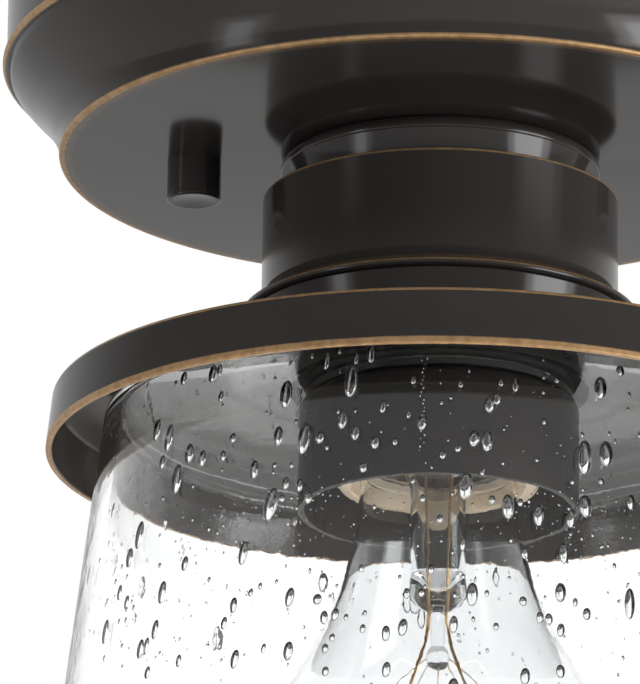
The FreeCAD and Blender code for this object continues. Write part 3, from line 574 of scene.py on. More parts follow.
def white_surroundings():
    """White backdrop and a dimmer room on the viewer's side, plainly lit."""
    world = bpy.data.worlds.new("white_surroundings")
    bpy.context.scene.world = world
    world.use_nodes = True
    tree = world.node_tree
    back = tree.nodes["Background"]
    back.inputs["Color"].default_value = (1.0, 1.0, 1.0, 1.0)
    place = add_node(tree, "ShaderNodeTexCoord")
    parts = add_node(tree, "ShaderNodeSeparateXYZ")
    link(tree, place.outputs["Generated"], parts.inputs[0])
    front = ROOM_MIRRORED - ROOM_LIGHT
    behind = BACKDROP_MIRRORED - ROOM_LIGHT
    depth = fade(tree, parts.outputs[1], -0.1, 0.75, front, behind)
    seen, mirrored = seen_directly(tree)
    strength = combine(tree, "MULTIPLY_ADD", seen, 1.0 - ROOM_LIGHT, ROOM_LIGHT)
    strength = combine(tree, "MULTIPLY_ADD", depth, mirrored, strength)
    link(tree, strength, back.inputs["Strength"])


def pale_floor():
    """A pale floor far below. It is clear from underneath, so that the lantern can be seen from there."""
    bpy.ops.object.select_all(action="DESELECT")
    bpy.ops.mesh.primitive_plane_add(size=FLOOR_SIZE, location=(0, 0, FLOOR_UP))
    bpy.ops.object.transform_apply(location=True, rotation=False, scale=False)
    floor = bpy.context.object
    floor.name = "pale_floor"
    look = Finish("pale_floor", grain=30.0, patch=2.0)
    look.colour((0.80, 0.80, 0.79), (0.82, 0.82, 0.81))
    look.gloss(0.75, 0.85)
    look.value(Emission_Color=(1.0, 1.0, 1.0))
    seen, mirrored = seen_directly(look.tree)
    spread = add_node(look.tree, "ShaderNodeVectorMath", operation="LENGTH")
    link(look.tree, look.place, spread.inputs[0])
    far = fade(look.tree, spread.outputs["Value"], 0.7, 2.4)
    mirrored = combine(look.tree, "MULTIPLY", far, mirrored)
    lift = combine(look.tree, "MULTIPLY", combine(look.tree, "MAXIMUM", seen, mirrored), FLOOR_LIFT)
    link(look.tree, lift, look.shader.inputs["Emission Strength"])
    side = add_node(look.tree, "ShaderNodeNewGeometry")
    clear = add_node(look.tree, "ShaderNodeBsdfTransparent")
    mixed_surface(look.tree, side.outputs["Backfacing"], look.shader.outputs[0], clear.outputs[0])
    floor.data.materials.append(look.material)


def soft_lamp(name, bearing, up, distance, width, height, power):
    """A soft box at a bearing from the camera's side, positive to the right, aimed at the lantern."""
    data = bpy.data.lights.new(name, "AREA")
    data.shape = "RECTANGLE"
    data.size = width
    data.size_y = height
    data.energy = power
    lamp = bpy.data.objects.new(name, data)
    bpy.context.scene.collection.objects.link(lamp)
    angle = math.radians(bearing)
    lamp.location = (math.sin(angle) * distance, -math.cos(angle) * distance, up)
    aim = Vector(LAMP_AIM) - lamp.location
    lamp.rotation_euler = aim.to_track_quat("-Z", "Y").to_euler()


def light_studio():
    """Plain soft light round the lantern."""
    white_surroundings()
    pale_floor()
    for name, panel in SOFT_LAMPS.items():
        soft_lamp(name, *panel)


# ---- painted metal -------------------------------------------------------------------------------

def make_canopy():
    """Stepped pan with a small bead on its ridge and a hollow underside."""
    side = CANOPY_RADIUS - 0.75
    lining = CANOPY_RADIUS - 1.95
    floor = CANOPY_BOTTOM + SHEET
    outline = section([
        at(TUBE_RADIUS, CANOPY_BOTTOM),
        at(CANOPY_FOOT, CANOPY_BOTTOM, ease=0.45),
        at(CANOPY_FOOT, CANOPY_BOTTOM + 2.2, bend=-21.0),
        at(74.1, -24.0, bend=38.0),
        at(77.55, -20.3, bend=2.5),
        at(78.1, -19.1),
        at(78.3, -18.72, bend=0.86),
        at(CANOPY_RADIUS, -17.86, bend=0.86),
        at(side, -17.02),
        at(side, CANOPY_TOP, ease=0.35),
        at(lining, CANOPY_TOP, ease=0.35),
        at(lining, -18.6, bend=-36.8),
        at(73.26, -23.16, bend=22.2),
        at(CANOPY_FOOT - SHEET, CANOPY_BOTTOM + 2.68),
        at(CANOPY_FOOT - SHEET, floor),
        at(TUBE_RADIUS, floor),
    ])
    canopy = turned("bronze_canopy", outline, around=AROUND_FINE)
    bored(canopy, STUD_HOLE, [(STUD_ACROSS, 0), (-STUD_ACROSS, 0)])
    paint = bronze_paint("canopy_paint", [
        (CANOPY_RADIUS - 0.2, -17.75, 1.15, 0.15, 0.7, 1.0),
        (CANOPY_FOOT - 0.3, CANOPY_BOTTOM - 0.05, 0.95, 0.12, 0.6, 1.0),
        (CANOPY_FOOT - 1.3, CANOPY_BOTTOM - 1.0, 2.1, 0.2, 0.0, 0.4),
    ])
    settle(canopy, "fixture", "bronze_paint", paint, "canopy")


def make_cap_nut(side, node):
    """Smooth knob with an eased rim and a blind bore."""
    low = CANOPY_BOTTOM - 7.4
    radius = 4.85
    bore = 2.13
    bore_end = CANOPY_BOTTOM - 6.0
    outline = section([
        at(0, low + 0.32, bend=-26.0),
        at(4.05, low, ease=0.2),
        at(radius, low, ease=0.42),
        at(radius, CANOPY_BOTTOM),
        at(bore, CANOPY_BOTTOM),
        at(bore, bore_end),
        at(0, bore_end),
    ], closed=False)
    nut = turned(node + "_knob", outline, around=96, closed=False)
    nut.data.transform(Matrix.Translation((STUD_ACROSS * side * MM, 0, 0)))
    paint = bronze_paint(node + "_paint", centre=(STUD_ACROSS * side, 0, 0))
    settle(nut, node, "bronze_paint", paint, node)


def make_collar():
    """Cupped ring between canopy and neck, its face hollowed."""
    wall = 1.5
    lining = COLLAR_RADIUS - 2.3
    outline = section([
        at(TUBE_RADIUS, CANOPY_BOTTOM - wall),
        at(lining, CANOPY_BOTTOM - wall),
        at(lining, NECK_TOP),
        at(COLLAR_RADIUS - 0.8, NECK_TOP, bend=-16.0),
        at(COLLAR_RADIUS + 0.62, CANOPY_BOTTOM - 2.62, bend=0.62),
        at(COLLAR_RADIUS + 0.9, CANOPY_BOTTOM - 2.1, bend=2.1),
        at(COLLAR_RADIUS - 1.2, CANOPY_BOTTOM),
        at(TUBE_RADIUS, CANOPY_BOTTOM),
    ])
    settle(turned("neck_collar", outline), "fixture", "bronze_paint", bronze_paint("collar_paint"), "collar")


def make_neck():
    """Deep drawn cup that flares to a ring at its foot."""
    lining = NECK_RADIUS - SHEET
    ring_top = NECK_BOTTOM + 1.2
    flare_top = ring_top + 3.4
    outline = section([
        at(TUBE_RADIUS, NECK_TOP - SHEET),
        at(lining, NECK_TOP - SHEET),
        at(lining, NECK_BOTTOM),
        at(NECK_RING, NECK_BOTTOM, bend=0.62),
        at(NECK_RING, ring_top, bend=-4.6),
        at(NECK_RADIUS, flare_top),
        at(NECK_RADIUS, NECK_TOP, ease=0.5),
        at(TUBE_RADIUS, NECK_TOP),
    ])
    paint = bronze_paint("neck_paint", [
        (NECK_RADIUS - 0.1, NECK_TOP - 0.1, 0.6, 0.25, 0.5, 0.6),
        (NECK_RING + 0.1, ring_top - 0.1, 0.62, 0.2, 0.5, 0.6),
        (NECK_RING - 1.0, ring_top + 0.9, 1.7, 0.2, 0.0, 0.25),
    ])
    settle(turned("neck_shell", outline), "fixture", "bronze_paint", paint, "neck_housing")


def make_shade_plate():
    """Shallow crowned plate with a rounded edge and a flared lip."""
    ease = 0.4
    roll = 1.25
    hole = 20.6
    cove_up = NECK_BOTTOM - 6.7
    edge_up = NECK_BOTTOM - 14.75
    edge_in = PLATE_RADIUS - roll
    outline = section([
        at(hole, NECK_BOTTOM - SHEET),
        at(32.8, NECK_BOTTOM - SHEET),
        at(32.5, NECK_BOTTOM - 5.0, bend=7.4),
        at(41.1, cove_up - SHEET),
        at(edge_in - ease, edge_up - SHEET),
        at(PLATE_RADIUS - SHEET, edge_up - roll - ease),
        at(PLATE_LIP - SHEET, PLATE_LIP_UP, ease=0.3),
        at(PLATE_LIP, PLATE_LIP_UP, ease=0.3),
        at(PLATE_RADIUS, edge_up - roll, bend=roll),
        at(edge_in, edge_up),
        at(41.5, cove_up, bend=-6.2),
        at(33.8, NECK_BOTTOM - 4.3),
        at(34.6, NECK_BOTTOM - 0.2, ease=0.2),
        at(33.9, NECK_BOTTOM),
        at(hole, NECK_BOTTOM),
    ])
    paint = bronze_paint("shade_plate_paint", [
        (PLATE_RADIUS - 0.3, edge_up - 0.3, 0.6, 0.2, 0.6, 1.0),
        (PLATE_LIP + 0.45, PLATE_LIP_UP - 0.15, 1.6, 0.12, 0.8, 1.0),
    ])
    plate = turned("shade_plate_pressing", outline, around=AROUND_FINE)
    settle(plate, "fixture", "bronze_paint", paint, "shade_plate")


def make_retaining_cup():
    """Cup that screws up the socket on an inner sleeve."""
    thread = 19.55
    sleeve = thread + 1.6
    sleeve_end = CUP_TOP - 7.0
    roof = CUP_TOP - 1.5
    lining = CUP_RADIUS - SHEET
    outline = section([
        at(thread, sleeve_end),
        at(sleeve, sleeve_end),
        at(sleeve, roof),
        at(lining, roof, ease=0.9),
        at(lining, CUP_BOTTOM, ease=0.12),
        at(CUP_RADIUS, CUP_BOTTOM, ease=0.12),
        at(CUP_RADIUS, CUP_TOP, ease=2.3),
        at(thread, CUP_TOP),
    ])
    cup = turned("retaining_cup_shell", outline)
    # depth 0.5 halves the bronze colour: painted shade for the cup, which sits under the plate inside the
    # glass
    paint = bronze_paint("cup_paint", gloss=(0.22, 0.28), depth=0.5, mirror=1.22)
    settle(cup, "retaining_cup", "bronze_paint", paint, "retaining_cup")


# ---- glass shade ---------------------------------------------------------------------------------

MOUTH_WALL = GLASS_WALL + 3.0
SCATTERED_SEEDS = 130
FINE_SEEDS = 1700
BAND_SEEDS = 240
BAND_UP = -117.5
STRING_SEEDS = 24

# Seeds of the front wall: bearing in degrees, height, half width and half length in mm.
FRONT_SEEDS = [
    (-62.5, -130.9, 1.02, 2.25), (-59.3, -124.6, 0.73, 1.45), (-57.5, -118.7, 1.03, 1.81),
    (-56.7, -127, 0.67, 1.26), (-55.3, -115.1, 1.12, 2.54), (-53.9, -96.1, 0.93, 2.02),
    (-51.3, -136.8, 0.86, 1.8), (-51.3, -102.7, 0.72, 1.37), (-50.2, -98.4, 0.99, 2.48),
    (-49.9, -136.6, 0.69, 1.62), (-48.9, -141.6, 0.68, 1.16), (-48.2, -134, 0.8, 1.8),
    (-48, -87.9, 0.81, 1.29), (-47.5, -127.4, 0.92, 2.08), (-47, -106.8, 1.18, 2.74),
    (-44.6, -102.6, 1, 1.83), (-43, -123.1, 0.72, 1.36), (-42.2, -140.9, 0.59, 1.16),
    (-41.5, -104.2, 0.83, 1.56), (-41, -88.6, 0.94, 1.66), (-39.5, -88.3, 0.57, 1.2),
    (-38.7, -93.3, 0.56, 1.01), (-37.1, -104.6, 0.66, 1.01), (-35.4, -101.6, 0.64, 0.92),
    (-34, -135.6, 0.63, 1.17), (-32.5, -132.6, 0.72, 1.44), (-31.5, -142.5, 0.81, 1.79),
    (-31.5, -123.3, 0.91, 2.17), (-30.7, -108.2, 0.81, 1.74), (-29.6, -130.8, 0.49, 0.72),
    (-28, -129.8, 0.39, 0.63), (-27.2, -115, 1.26, 3.01), (-27, -107.9, 0.48, 0.55),
    (-26.7, -141.2, 0.48, 0.9), (-26.7, -102.6, 0.87, 1.84), (-25.8, -95, 1.15, 2.58),
    (-25.3, -114.2, 0.57, 0.73), (-24.8, -111.5, 0.66, 1.19), (-24, -108.3, 0.47, 0.55),
    (-22.9, -132.5, 0.83, 1.8), (-22.9, -118.7, 0.56, 0.91), (-22.6, -142.2, 0.92, 1.79),
    (-22.4, -112.2, 0.65, 1.19), (-22.1, -103.6, 1.11, 2.94), (-20.8, -114.6, 0.73, 1.19),
    (-19.4, -103.7, 0.82, 1.19), (-18.9, -89.7, 0.55, 1.58), (-18.4, -133.3, 0.8, 0.99),
    (-17.2, -136.7, 0.71, 1.26), (-16.8, -142.3, 0.62, 0.9), (-16.6, -146.4, 0.62, 0.89),
    (-15.8, -140.4, 0.53, 0.72), (-15.7, -100.7, 0.89, 1.84), (-15.5, -136.3, 0.7, 1.17),
    (-14.5, -93.8, 1.15, 2.96), (-13.8, -136.9, 0.43, 0.63), (-13.8, -89.6, 0.44, 1.11),
    (-13.5, -103.3, 0.79, 1.47), (-12, -109.8, 0.7, 1.01), (-11.7, -128.2, 0.52, 0.72),
    (-11.3, -89, 0.7, 1.67), (-11.2, -139.1, 0.52, 0.81), (-10.2, -105.3, 0.78, 1.29),
    (-9.1, -98.8, 0.6, 1.2), (-7.7, -140.1, 0.76, 1.44), (-7.5, -146.6, 0.76, 1.43),
    (-7, -105.3, 0.51, 0.73), (-5.2, -139.1, 0.84, 1.62), (-4.9, -100.4, 0.43, 0.74),
    (-4.7, -133, 0.59, 0.99), (-4.2, -94.1, 0.51, 0.74), (-4.1, -112.5, 0.51, 0.64),
    (-2.7, -101.9, 0.85, 1.47), (-2.5, -132.9, 0.59, 0.81), (-2.5, -115.8, 0.51, 0.73),
    (-1.1, -128.7, 0.59, 0.9), (0.2, -119.5, 0.59, 0.82), (0.4, -98.2, 0.34, 0.46),
    (0.6, -107.8, 0.59, 0.83), (2.3, -138.6, 0.76, 1.62), (3, -106.6, 0.59, 0.73),
    (3.5, -94.8, 0.51, 0.65), (3.7, -124.1, 0.51, 1.18), (4.2, -113.4, 1.19, 2.56),
    (5.1, -133.1, 1.01, 2.16), (5.6, -104.7, 0.94, 1.56), (6.8, -110.9, 0.43, 0.55),
    (7.3, -132.8, 0.42, 0.63), (7.7, -105, 0.94, 2.02), (8.2, -98.3, 0.95, 1.57),
    (8.3, -115.8, 0.6, 0.82), (8.6, -138.7, 0.51, 0.72), (9.4, -97.2, 0.78, 1.2),
    (10.1, -94.2, 0.52, 0.74), (10.8, -116.9, 1.04, 2.28), (12.5, -94.5, 0.61, 1.29),
    (12.8, -147.4, 0.86, 1.61), (12.8, -133.9, 0.69, 0.9), (12.8, -116, 0.52, 0.73),
    (13.3, -125.2, 0.7, 1.09), (15.3, -136.6, 0.61, 1.08), (15.7, -118.1, 0.97, 2),
    (16.7, -136.8, 0.71, 1.08), (17.1, -100.8, 0.45, 0.64), (18.2, -146, 0.8, 1.25),
    (18.5, -138.6, 0.71, 1.26), (18.7, -131.8, 0.99, 1.8), (19.6, -124.6, 0.9, 1.99),
    (19.6, -92.9, 0.46, 0.55), (21, -133.3, 0.46, 0.81), (21, -118.1, 0.92, 1.82),
    (21.5, -111.3, 0.46, 0.64), (22.8, -135.2, 0.74, 1.17), (23.5, -115.6, 1.12, 2.09),
    (23.8, -106.6, 1.31, 3.21), (26.5, -110.6, 0.58, 0.64), (27.4, -93.3, 1.17, 2.12),
    (27.7, -105.4, 1.27, 2.38), (30.2, -132.3, 0.99, 2.88), (31.4, -89.5, 0.82, 1.02),
    (31.7, -113.6, 0.81, 1.46),
]


def way_down(up):
    """How far down the shade's cone a height is: none at its shoulder, one at its mouth."""
    return (GLASS_SIDE_UP - up) / (GLASS_SIDE_UP - GLASS_MOUTH_UP)


def shade_radius(up):
    """Outer radius of the shade's cone at a height."""
    return GLASS_SIDE + (GLASS_MOUTH - GLASS_SIDE) * way_down(up)


def shade_wall(up):
    """Thickness of the shade at a height. It grows towards the mouth."""
    return GLASS_WALL + (MOUTH_WALL - GLASS_WALL) * way_down(up)


def seed_cavity(segments, rings):
    """One hollow seed in the glass, of unit size, its faces turned in to the hollow."""
    ball = bpy.ops.mesh.primitive_uv_sphere_add
    piece = start_piece(ball, segments=segments, ring_count=rings, radius=1.0)
    bpy.ops.mesh.flip_normals()
    return close_piece(piece, "seed", angle=math.pi)


def placed_seed(master, bearing, up, wide, tall, deep, sink=0.0, lean=0.0):
    """A copy of a seed inside the wall, stood along its slope. Sizes are half axes in mm."""
    slope = math.atan2(GLASS_MOUTH - GLASS_SIDE, GLASS_SIDE_UP - GLASS_MOUTH_UP)
    middle = shade_radius(up) - shade_wall(up) / 2 / math.cos(slope) + sink
    copy = bpy.data.objects.new("seed", master.data.copy())
    bpy.context.scene.collection.objects.link(copy)
    spot = Matrix.Translation((0, -middle * MM, up * MM))
    along = Matrix.Rotation(-slope, 4, "X") @ Matrix.Rotation(math.radians(lean), 4, "Y")
    size = Matrix.Diagonal((wide * MM, deep * MM, tall * MM, 1.0))
    turn = Matrix.Rotation(math.radians(bearing), 4, "Z")
    copy.data.transform(turn @ spot @ along @ size)
    return copy


def shade_seeds():
    """Measured seeds in front, scattered ones round the rest, fine ones, a band and an upright string."""
    chance = random.Random(41)
    large = seed_cavity(18, 12)
    middling = seed_cavity(10, 7)
    small = seed_cavity(6, 5)
    seeds = []
    for bearing, up, wide, tall in FRONT_SEEDS:
        master = large if tall > 2.0 else middling
        deep = min(wide * 0.62, 0.7)
        seeds.append(placed_seed(master, bearing, up, wide, tall, deep, lean=chance.uniform(0, 9)))
    for _ in range(SCATTERED_SEEDS):
        tall = chance.uniform(0.7, 2.4)
        wide = tall * chance.uniform(0.35, 0.55)
        up = chance.uniform(-202, -89)
        aside = 66 if up > -147 else 0
        bearing = chance.uniform(aside, 360 - aside)
        deep = min(wide * 0.65, 0.6)
        seeds.append(placed_seed(middling, bearing, up, wide, tall, deep, lean=chance.uniform(-6, 12)))
    for _ in range(FINE_SEEDS):
        size = chance.uniform(0.3, 0.62) ** 2
        bearing = chance.uniform(0, 360)
        up = chance.uniform(-203, -87)
        tall = size * chance.uniform(1.0, 1.7)
        seeds.append(placed_seed(small, bearing, up, size, tall, size * 0.8, chance.uniform(-0.6, 0.6)))
    for _ in range(BAND_SEEDS):
        size = chance.uniform(0.07, 0.2)
        bearing = chance.uniform(-45, 45)
        up = BAND_UP + chance.gauss(0, 3.2)
        seeds.append(placed_seed(small, bearing, up, size, size * 1.3, size, chance.uniform(-0.5, 0.5)))
    for step in range(STRING_SEEDS):
        size = chance.uniform(0.12, 0.24)
        up = -90.5 - 0.72 * step
        bearing = -2.6 + chance.uniform(-0.5, 0.5)
        seeds.append(placed_seed(small, bearing, up, size, size * 1.3, size, 0.4))
    for master in (large, middling, small):
        bpy.data.objects.remove(master)
    return seeds


def make_glass_shade():
    """Blown cone, open below, with a clamped roof and its seeds inside the wall."""
    hole = 21.25
    roof = 27.5
    outline = section([
        at(hole, GLASS_TOP, ease=0.5),
        at(hole, GLASS_TOP - GLASS_WALL, ease=0.5),
        at(roof, GLASS_TOP - GLASS_WALL),
        at(56.25, -84.5, ease=2.0),
        at(GLASS_SIDE - GLASS_WALL, -85.55),
        at(GLASS_MOUTH - MOUTH_WALL, GLASS_MOUTH_UP, ease=1.4),
        at(GLASS_MOUTH, GLASS_MOUTH_UP, ease=1.4),
        at(GLASS_SIDE, GLASS_SIDE_UP, bend=3.0),
        at(56.9, -81.9),
        at(roof, GLASS_TOP),
    ])
    shade = turned("seeded_glass_shade", outline, around=AROUND_FINE)
    joined([shade] + shade_seeds(), "seeded_glass_shade")
    look = glass("seeded_glass", (0.985, 0.99, 0.99), 160.0, 0.022)
    settle(shade, "fixture", "seeded_glass", look, "glass_shade")


# ---- socket --------------------------------------------------------------------------------------

def make_socket():
    """Glazed body, narrower at its mouth, with a bore for the screw shell."""
    step = SOCKET_BOTTOM + 6.0
    mouth = 18.0
    bore = 13.95
    bore_end = SOCKET_TOP - 3.2
    outline = section([
        at(0, bore_end),
        at(bore, bore_end),
        at(bore, SOCKET_BOTTOM + 3.0),
        at(15.6, SOCKET_BOTTOM, ease=0.5),
        at(mouth, SOCKET_BOTTOM, ease=0.8),
        at(mouth, step),
        at(SOCKET_RADIUS, step, ease=0.4),
        at(SOCKET_RADIUS, SOCKET_TOP, ease=0.6),
        at(0, SOCKET_TOP),
    ], closed=False)
    socket = turned("porcelain_socket", outline, closed=False)
    settle(socket, "fixture", "porcelain", porcelain(), "socket_body")


# ---- bulb ----------------------------------------------------------------------------------------

def envelope_side(skin):
    """Half outline of the bulb's glass from its bottom to its neck, shrunk by skin."""
    centre = Vector((0, BULB_CENTRE))
    ball = BULB_RADIUS - skin
    arc = BULB_SHOULDER + skin
    neck = Vector((BULB_NECK - skin, BULB_NECK_UP))
    arc_centre = Vector((BULB_NECK + BULB_SHOULDER, BULB_NECK_UP))
    touch = centre + (arc_centre - centre).normalized() * ball
    bottom = Vector((0, BULB_CENTRE - ball))
    side = Vector((ball, BULB_CENTRE))
    points = bow(bottom, side, ball)[:-1] + bow(side, touch, ball)[:-1]
    return points + bow(touch, neck, -arc)


def make_bulb_envelope():
    """Blown bulb with an even wall, open at its neck."""
    outer = envelope_side(0.0)
    inner = envelope_side(BULB_WALL)
    seal = BULB_SEAL
    top = [Vector((seal, BULB_NECK_UP + 1.5)), Vector((seal, BULB_NECK_UP + 6.5))]
    under = [Vector((seal - BULB_WALL, p.y)) for p in reversed(top)]
    envelope = turned("bulb_glass", outer + top + under + inner[::-1], closed=False)
    look = glass("bulb_glass", (0.975, 0.985, 0.99), 90.0, 0.0)
    settle(envelope, "bulb", "bulb_glass", look, "bulb_envelope")


def make_bulb_stem():
    """Flared tube, pinched flat round its wires, then a thin rod with a button."""
    rod = 1.3
    tube = 4.9
    tube_in = tube - 1.0
    flare = BULB_SEAL - 0.8
    flare_up = STEM_TOP - 10.0
    outline = section([
        at(0, STEM_BUTTON - 2.2, bend=2.2),
        at(2.2, STEM_BUTTON, bend=2.2),
        at(rod, STEM_BUTTON + 1.77),
        at(rod, STEM_END - 1.2, ease=0.6),
        at(3.4, STEM_END, ease=0.5),
        at(tube - 0.3, STEM_END + 2.2),
        at(tube, STEM_PRESS),
        at(tube, flare_up, bend=-11.0),
        at(flare, STEM_TOP - 0.9, ease=0.3),
        at(flare, STEM_TOP),
        at(BULB_SEAL - 1.9, STEM_TOP, bend=11.0),
        at(tube_in, flare_up),
        at(tube_in, STEM_PRESS, ease=1.0),
        at(1.6, STEM_PRESS - 2.6, ease=0.8),
        at(0, STEM_PRESS - 3.0),
    ], closed=False)
    stem = turned("stem_tube", outline, around=72, closed=False)
    for vertex in stem.data.vertices:
        up = vertex.co.z / MM
        share = max(0.0, min((STEM_PRESS - up) / 3.0, (up - STEM_END + 1.6) / 1.2, 1.0))
        vertex.co.x *= 1.0 + 0.16 * share
        vertex.co.y *= 1.0 - 0.52 * share
    look = glass("stem_glass", (0.95, 0.965, 0.975), 260.0, 0.02)
    settle(stem, "bulb", "bulb_glass", look, "bulb_stem")


def wire_piece(name, points, radius, sides=8):
    """A round wire along points in mm."""
    bpy.ops.object.select_all(action="DESELECT")
    bpy.ops.curve.primitive_nurbs_path_add()
    path = bpy.context.object
    path.data.splines.clear()
    spline = path.data.splines.new("POLY")
    spline.points.add(len(points) - 1)
    for spot, point in zip(spline.points, points):
        spot.co = (point.x * MM, point.y * MM, point.z * MM, 1.0)
    path.data.bevel_depth = radius * MM
    path.data.bevel_resolution = max(0, sides // 2 - 2)
    path.data.use_fill_caps = True
    bpy.ops.object.convert(target="MESH")
    piece = named(bpy.context.object, name)
    bpy.ops.object.shade_smooth_by_angle(angle=math.radians(50))
    return piece


def smooth_line(corners, count):
    """Points along a smooth curve through its corners."""
    points = []
    for i in range(len(corners) - 1):
        before = corners[max(i - 1, 0)]
        start, finish = corners[i], corners[i + 1]
        after = corners[min(i + 2, len(corners) - 1)]
        for step in range(count):
            t = step / count
            pull = (finish - before) * (t - 2 * t * t + t ** 3) / 2 + (after - start) * (t ** 3 - t * t) / 2
            points.append(start * (1 - 3 * t * t + 2 * t ** 3) + finish * (3 * t * t - 2 * t ** 3) + pull)
    return points + [corners[-1]]


def coil_round(line, radius, pitch, per_turn):
    """A helix of a given radius and pitch round a line of points."""
    points = []
    turn = 0.0
    for start, finish in zip(line, line[1:]):
        ahead = finish - start
        length = ahead.length
        side = ahead.cross(Vector((0, 0, 1))).normalized()
        other = side.cross(ahead).normalized()
        count = max(1, round(length / pitch * per_turn))
        for step in range(count):
            angle = turn + 2 * math.pi * (step / count) * length / pitch
            arm = (side * math.cos(angle) + other * math.sin(angle)) * radius
            points.append(start + ahead * (step / count) + arm)
        turn += 2 * math.pi * length / pitch
    return points


def make_bulb_wires():
    """Leads through the pinched glass, hooked supports and the coiled filament hung on them."""
    hooks = []
    for step in range(7):
        angle = math.radians(-60 + 50 * step)
        sway = HOOK_SWAY if step % 2 else -HOOK_SWAY
        hooks.append(Vector((HOOK_ACROSS * math.cos(angle), HOOK_ACROSS * math.sin(angle), HOOK_UP + sway)))
    coil = coil_round(smooth_line(hooks, 10), 0.26, 0.3, 9)
    filament = wire_piece("coiled_filament", coil, 0.055, sides=4)
    settle(filament, "bulb", "tungsten", hot_filament(), "bulb_filament")

    leads = []
    for tip in (hooks[0], hooks[-1]):
        outward = Vector((tip.x, tip.y, 0)).normalized()
        side = Vector((1.7 if tip.x > 0 else -1.7, 0, 0))
        route = [
            side * 1.4 + Vector((0, 0, STEM_TOP - 1.0)),
            side * 1.15 + Vector((0, 0, STEM_PRESS + 2.0)),
            side + Vector((0, 0, STEM_PRESS - 3.4)),
            side * 0.95 + Vector((0, 0, STEM_END - 1.6)),
            side + outward * 1.4 + Vector((0, 0, STEM_END - 7.0)),
            tip + outward * 0.1 + Vector((0, 0, 5.5)),
            tip + outward * 0.2 + Vector((0, 0, 0.3)),
            tip - outward * 0.35 + Vector((0, 0, -0.35)),
        ]
        leads.append(wire_piece("lead_wire", smooth_line(route, 6), 0.3))
    copper = metal("lead_copper", (0.72, 0.42, 0.16), (0.86, 0.58, 0.27), 0.25, 0.4)
    settle(joined(leads, "lead_wires"), "bulb", "wire", copper, "bulb_lead_wires")

    supports = []
    for point in hooks[1:-1]:
        outward = Vector((point.x, point.y, 0)).normalized()
        root = Vector((0, 0, STEM_BUTTON)) + outward * 1.9
        eye = []
        for step in range(9):
            angle = math.radians(-150 + 36 * step)
            rise = Vector((0, 0, HOOK_RADIUS * math.cos(angle)))
            eye.append(point + outward * HOOK_RADIUS * math.sin(angle) + rise)
        route = [root, (root + point) / 2 + Vector((0, 0, 0.9)), point - outward * 0.9]
        supports.append(wire_piece("support_wire", smooth_line(route, 5) + eye, 0.12, sides=6))
    molybdenum = metal("support_metal", (0.50, 0.44, 0.36), (0.60, 0.53, 0.44), 0.3, 0.45)
    settle(joined(supports, "support_wires"), "bulb", "wire", molybdenum, "bulb_support_wires")


# ---- screw threads -------------------------------------------------------------------------------

def climbing(across, low, high, step):
    """Points up a straight wall, close enough to carry a thread."""
    count = max(1, round((high - low) / step))
    return [Vector((across, low + (high - low) * i / count)) for i in range(count + 1)]


def threaded(piece, floor, low, high, pitch, depth):
    """Presses a right-hand thread into all that lies outside floor, between two heights."""
    for vertex in piece.data.vertices:
        across = math.hypot(vertex.co.x, vertex.co.y) / MM
        up = vertex.co.z / MM
        run_out = min((up - low) / pitch, (high - up) / pitch, 1.0)
        if across < floor or run_out <= 0:
            continue
        turn = math.atan2(vertex.co.y, vertex.co.x) / (2 * math.pi)
        wave = 0.5 - 0.5 * math.cos(2 * math.pi * (up / pitch - turn))
        share = 1.0 - depth * wave * run_out / across
        vertex.co.x *= share
        vertex.co.y *= share
    piece.data.update()


def make_bulb_base():
    """Rolled screw shell, its lower skirt crimped on the glass."""
    shell = 13.1
    wall = 0.3
    tip = 9.2
    cone = BASE_TOP - 2.2
    pitch = 3.63
    step = 0.45
    outer = climbing(shell, BASE_BOTTOM, cone, step)
    inner = climbing(shell - wall, BASE_BOTTOM, cone - wall, step)
    crown = [Vector((tip, BASE_TOP)), Vector((0, BASE_TOP))]
    under = [Vector((0, BASE_TOP - wall)), Vector((tip - wall, BASE_TOP - wall))]
    base = turned("rolled_screw_base", outer + crown + under + inner[::-1], around=96)
    threaded(base, 9.5, BASE_BOTTOM + 2.6, cone - 0.2, pitch, 0.75)
    nickel = metal("nickel_base", (0.62, 0.60, 0.57), (0.72, 0.70, 0.66), 0.18, 0.34)
    settle(base, "bulb", "nickel_base", nickel, "bulb_screw_base")


def threaded_rod(node, radius, bore, pitch, across=0.0):
    """A rod or tube with a rolled thread, over its node's height."""
    low, high = (corner[2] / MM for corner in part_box(node))
    ease = 0.3
    tip = radius - ease
    outer = climbing(radius, low + ease, high - ease, pitch / 6)
    ends = [Vector((tip, high)), Vector((bore, high)), Vector((bore, low)), Vector((tip, low))]
    rod = turned(node + "_rod", outer + ends, around=40, closed=bore > 0)
    threaded(rod, radius - ease / 2, low, high, pitch, pitch * 0.5)
    rod.data.transform(Matrix.Translation((across * MM, 0, 0)))
    return rod


def make_threaded_rods():
    """The tube through the middle and the two canopy studs."""
    zinc = metal("zinc_rod", *ZINC_LOOK)
    tube = threaded_rod("threaded_nipple", 5.0, 3.4, 0.94)
    settle(tube, "fixture", "zinc_steel", zinc, "threaded_nipple")
    studs = [threaded_rod("canopy_studs", 2.08, 0.0, 0.79, STUD_ACROSS * side) for side in (-1, 1)]
    settle(joined(studs, "stud_rods"), "fixture", "zinc_steel", zinc, "canopy_studs")


